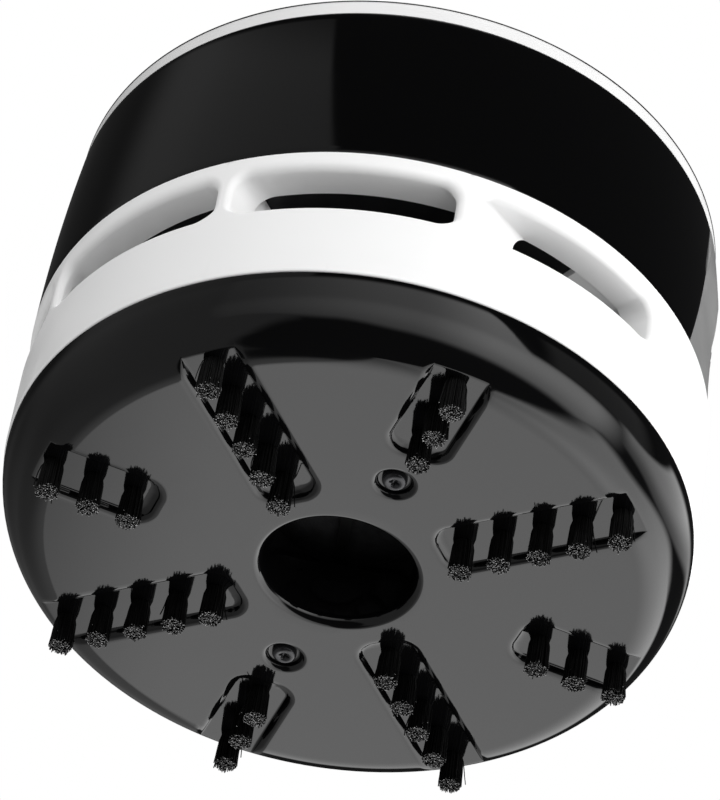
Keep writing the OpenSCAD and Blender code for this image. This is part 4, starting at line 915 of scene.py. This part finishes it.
# ---- Motor ----
# A small flat-sided motor: drawn steel can with a faint grain down its length, a pale end cap,
# brass terminals, and the steel shaft that carries the fan.
can_steel = Finish("drawn steel can", (0.52, 0.52, 0.53), 0.34, Metallic=1.0)
stretch = {"Vector": can_steel.place, "Scale": (1, 1, 0.06)}
stretched = can_steel.node("ShaderNodeMapping", {}, stretch)
can_steel.wear(0.5, 0.26, 0.44, 4.0, stretched)
dress("motor_can", can_steel)
dress("motor_shaft", bright_screw)
cap_plastic = Finish("motor cap plastic", (0.7, 0.7, 0.68), 0.45)
cap_plastic.wear(2, 0.4, 0.55)
dress("motor_end_cap", cap_plastic)
brass = Finish("brass", (0.72, 0.53, 0.24), 0.3, Metallic=1.0)
brass.wear(0.8, 0.22, 0.42, 3.0)
dress("motor_terminals", brass)


# ---- Cells and contacts ----
# Two AA-size cells side by side in the tray, in plain shrink jackets with a pale band at the
# positive end. Cone springs press on their flat ends and a strip joins them at the far side.
CELL_R, CELL_Z = 7.1, 49.75
CELL_LENGTH, NUB_R, NUB_H = 50.5, 2.75, 1.2
PLUS_X, PALE_BAND = 27.4, 11.5
TURNS, WIRE_R, FOOT_R, TIP_R, SPRING_L = 4, 0.25, 4.6, 2.6, 4.3
jacket = Finish("cell jacket", (0.03, 0.032, 0.038), 0.32)
jacket.wear(4, 0.27, 0.4)
jacket_band = Finish("cell jacket band", (0.62, 0.6, 0.55), 0.34)
jacket_band.wear(4, 0.28, 0.42)
nickel = Finish("nickel contact", (0.62, 0.6, 0.57), 0.26, Metallic=1.0)
nickel.wear(1.5, 0.2, 0.38, 4.0)
tail_x = PLUS_X - CELL_LENGTH
can_end = PLUS_X - NUB_H
flat_end = [(0.02, tail_x), (5.6, tail_x), (5.8, tail_x + 0.15), (6.2, tail_x + 0.15)]
dark_end = (CELL_R, can_end - PALE_BAND)
dark_wrap = flat_end[-1:] + arc((6.6, tail_x + 0.5), 0.5, -90, 0, 5) + [dark_end]
pale_wrap = [dark_end, (CELL_R, can_end - 0.9)] + arc((6.5, can_end - 0.9), 0.6, 0, 90, 5)
pale_wrap += [(5.9, can_end - 0.3), (5.7, can_end - 0.45)]
nub = pale_wrap[-1:] + [(5.4, can_end - 0.2), (NUB_R + 0.3, can_end), (NUB_R, can_end + 0.2)]
nub += arc((NUB_R - 0.3, PLUS_X - 0.3), 0.3, 0, 90, 4) + [(0.02, PLUS_X)]
cell_parts = [(flat_end, 2), (dark_wrap, 0), (pale_wrap, 1), (nub, 2)]
for node, y, way in (("battery_1", CELL_Y, -1), ("battery_2", -CELL_Y, 1)):
    grids = []
    for profile, mark in cell_parts:
        spun = lathe(profile, np.linspace(0, 360, 97))
        lying = [spun[..., 2] * way, spun[..., 0] * way + y, spun[..., 1] + CELL_Z]
        grids.append((np.stack(lying, -1), mark))
    cell = piece_from(f"{node}_can", grids, [jacket, jacket_band, nickel], 50)
    fit(cell, "main_body", node)
for node in ("contact_bridge", "contact_plus", "contact_minus"):
    dress(node, nickel)
share = np.linspace(0, 1, TURNS * 40 + 1)
coil_r, coil_a = FOOT_R + (TIP_R - FOOT_R) * share, share * TURNS * 2 * math.pi
rise = WIRE_R + (SPRING_L - 2 * WIRE_R) * share
line = np.column_stack([rise, coil_r * np.cos(coil_a), coil_r * np.sin(coil_a)])
outward = np.column_stack([np.zeros(len(share)), np.cos(coil_a), np.sin(coil_a)])[:, None]
tube_a = np.linspace(0, 2 * math.pi, 9)[None, :, None]
coil = line[:, None] + WIRE_R * (np.cos(tube_a) * outward + np.sin(tube_a) * np.array([1.0, 0, 0]))
ends = [np.stack([coil[i], np.broadcast_to(line[i], coil[i].shape)]) for i in (0, -1)]
spring_grids = []
for way in (-1, 1):
    for grid in [coil] + ends:
        turn = grid * (-way, -way, 1)
        spring_grids.append((turn + (way * PLUS_X, way * CELL_Y, CELL_Z), 0))
springs = piece_from("cone_springs", spring_grids, [nickel], 60)
fit(springs, "main_body", "contact_springs")


# ---- Wires ----
# Three short copper wires in PVC between the cells, the switch and the motor. Their ends are
# soldered to the tags, and they lie loose between.
wire_colours = {
    "wire_red": (0.42, 0.02, 0.015),
    "wire_black": (0.012, 0.012, 0.012),
    "wire_white": (0.72, 0.72, 0.7),
}
for node, colour in wire_colours.items():
    cover = Finish(f"{node} cover", colour, 0.38)
    cover.wear(1.5, 0.32, 0.48)
    dress(node, cover)


# ---- Studio ----
# A white sweep with big soft boxes: one low at the front, one beside the camera, a dim wall on the
# left, black under the camera and a light overhead. The floor shows only from above.
studio = bpy.data.worlds.new("studio")
studio.use_nodes = True
bpy.context.scene.world = studio
light = Nodes(studio.node_tree)
heading = light.node("ShaderNodeTexCoord", {}, {}, out="Generated")
axes = [light.node("ShaderNodeSeparateXYZ", {}, {"Vector": heading}, out=k) for k in range(3)]
east, north, rise = axes
azimuth = east.maths("ARCTAN2", north, east) * (180 / math.pi)
height = rise.maths("ARCSINE", rise) * (180 / math.pi)
front = azimuth.maths("FLOORED_MODULO", azimuth + 130, 360) - 130
behind = azimuth.maths("FLOORED_MODULO", azimuth, 360)
# Each light is a window in azimuth and height, in degrees, with soft edges and a slow change of
# brightness across it. First the low soft box at the front.
box_top = front.step(-92, -58, -16, 4) + front.step(-16, -4, 0, -15)
low_box = front.step(-117, -100) * front.step(1.5, 8, 1, 0) * (height - box_top).step(-4, 4, 1, 0)
low_box = low_box * height.step(-92, -52, 0.35, 1) * height.step(-15, 5, 1, 0.85)
low_box = low_box * front.step(-90, -50, 2.35, 2.85) * front.step(-52, -8, 1, 0.68)
# The soft box beside the camera.
camera_top = behind.step(212, 226, 37, 9.5)
camera_foot = behind.step(135, 165, -12, -18) + behind.step(165, 185, 0, -4)
camera_foot = camera_foot + behind.step(246, 258, 0, 8)
camera_box = behind.step(132, 195, 0.38, 1.3) + behind.step(188, 216, 0, 1.3)
camera_box = camera_box * behind.step(118, 136) * behind.step(248, 266, 1, 0)
camera_box = camera_box * (height - camera_top).step(-3, 3, 1, 0)
camera_box = camera_box * (height - camera_foot).step(-4, 4)
camera_box = camera_box * height.step(-28, 0, 0.5, 1) * height.step(2, 12, 1, 0.78)
# The slanting strip over the front.
strip_foot = front.step(-80, -30, -3, 31)
strip = (height - strip_foot).step(-2, 2) * (height - strip_foot).step(0, 16, 0.6, 1.75)
strip = strip * (height - front.step(-95, -50, 13, 42)).step(-2, 2, 1, 0)
strip = strip * front.step(-104, -94) * front.step(-28, -18, 1, 0) * height.step(32, 37, 1, 0)
# The dim wall on the left, darker in patches, and its upright edge that leans over at the top.
wall_foot = front.step(100, 160, -68, -18)
edge_lean = ((height - 44) * 1.25).over(0)
left_wall = front.step(1, 5.5) * (front + edge_lean).step(154.5, 157, 1, 0)
left_wall = left_wall * (height - wall_foot).step(-6, 6) * height.step(52, 60, 1, 0)
left_wall = left_wall * (0.2 + front.step(4, 36, 0.42, 0.05))
left_wall = left_wall * (1 - height.step(-45, 0) * front.step(62, 95, 0.45, 0))
left_wall = left_wall * (1 - height.step(2, 25) * front.step(50, 72, 0.6, 0))
left_wall = left_wall * (1 - height.step(28, 38) * front.step(55, 80, 0.85, 0.2))
# A faint side, the light overhead, and what fills in between.
dim_side = behind.step(228, 236) * behind.step(268, 280, 1, 0)
dim_side = dim_side * height.step(8, 14, 0, 0.18) * height.step(33, 37, 1, 0)
overhead = height.step(66, 76) * 3.0
boxes = low_box.over(camera_box).over(strip).over(dim_side).over(left_wall)
glow = height.step(-10, 25, 0.035, 0.02) + boxes + overhead
seen = light.node("ShaderNodeLightPath", {}, {}, out="Is Camera Ray")
soft = light.node("ShaderNodeLightPath", {}, {}, out="Is Diffuse Ray")
strength = (glow * (1 + 0.6 * soft) + 0.28 * soft) * (1 - seen) + seen
background = studio.node_tree.nodes["Background"]
background.inputs["Color"].default_value = (1, 1, 1, 1)
studio.node_tree.links.new(strength.socket, background.inputs["Strength"])

paper = Finish("floor paper", (0.84, 0.84, 0.84), 0.9)
paper.wear(20, 0.85, 0.95)
under = paper.node("ShaderNodeNewGeometry", {}, {}, out="Backfacing")
clear = paper.node("ShaderNodeBsdfTransparent", {}, {})
opaque = Value(paper, paper.shader.outputs[0])
one_way = paper.node("ShaderNodeMixShader", {}, {0: under, 1: opaque, 2: clear})
paper.tree.links.new(one_way.socket, paper.tree.nodes["Material Output"].inputs["Surface"])
floor_grid = lathe([(0.5, -0.02), (400, -0.02), (1600, -0.02)], np.linspace(0, 360, 97))
floor = piece_from("floor", [(floor_grid, 0)], [paper])
if floor.data.polygons[0].normal.z < 0:
    floor.data.flip_normals()
for ray in ("diffuse", "glossy", "transmission", "shadow"):
    setattr(floor, f"visible_{ray}", False)

lens = bpy.data.cameras.new("camera")
camera = bpy.data.objects.new("camera", lens)
bpy.context.scene.collection.objects.link(camera)
right, up = (-0.12008, -0.98446, 0.12818), (-0.66920, 0.17563, 0.72202)
away = (-0.73331, 0.00092, -0.67989)
stand = Matrix.Translation(Vector((-443.4305, 1.5276, -378.4979)) * MM)
camera.matrix_world = stand @ Matrix((right, up, away)).transposed().to_4x4()
lens.lens, lens.sensor_width = 218.436, 36.0
lens.clip_start, lens.clip_end = 0.01, 20.0
bpy.context.scene.camera = camera
bpy.context.scene.view_settings.view_transform = "Standard"
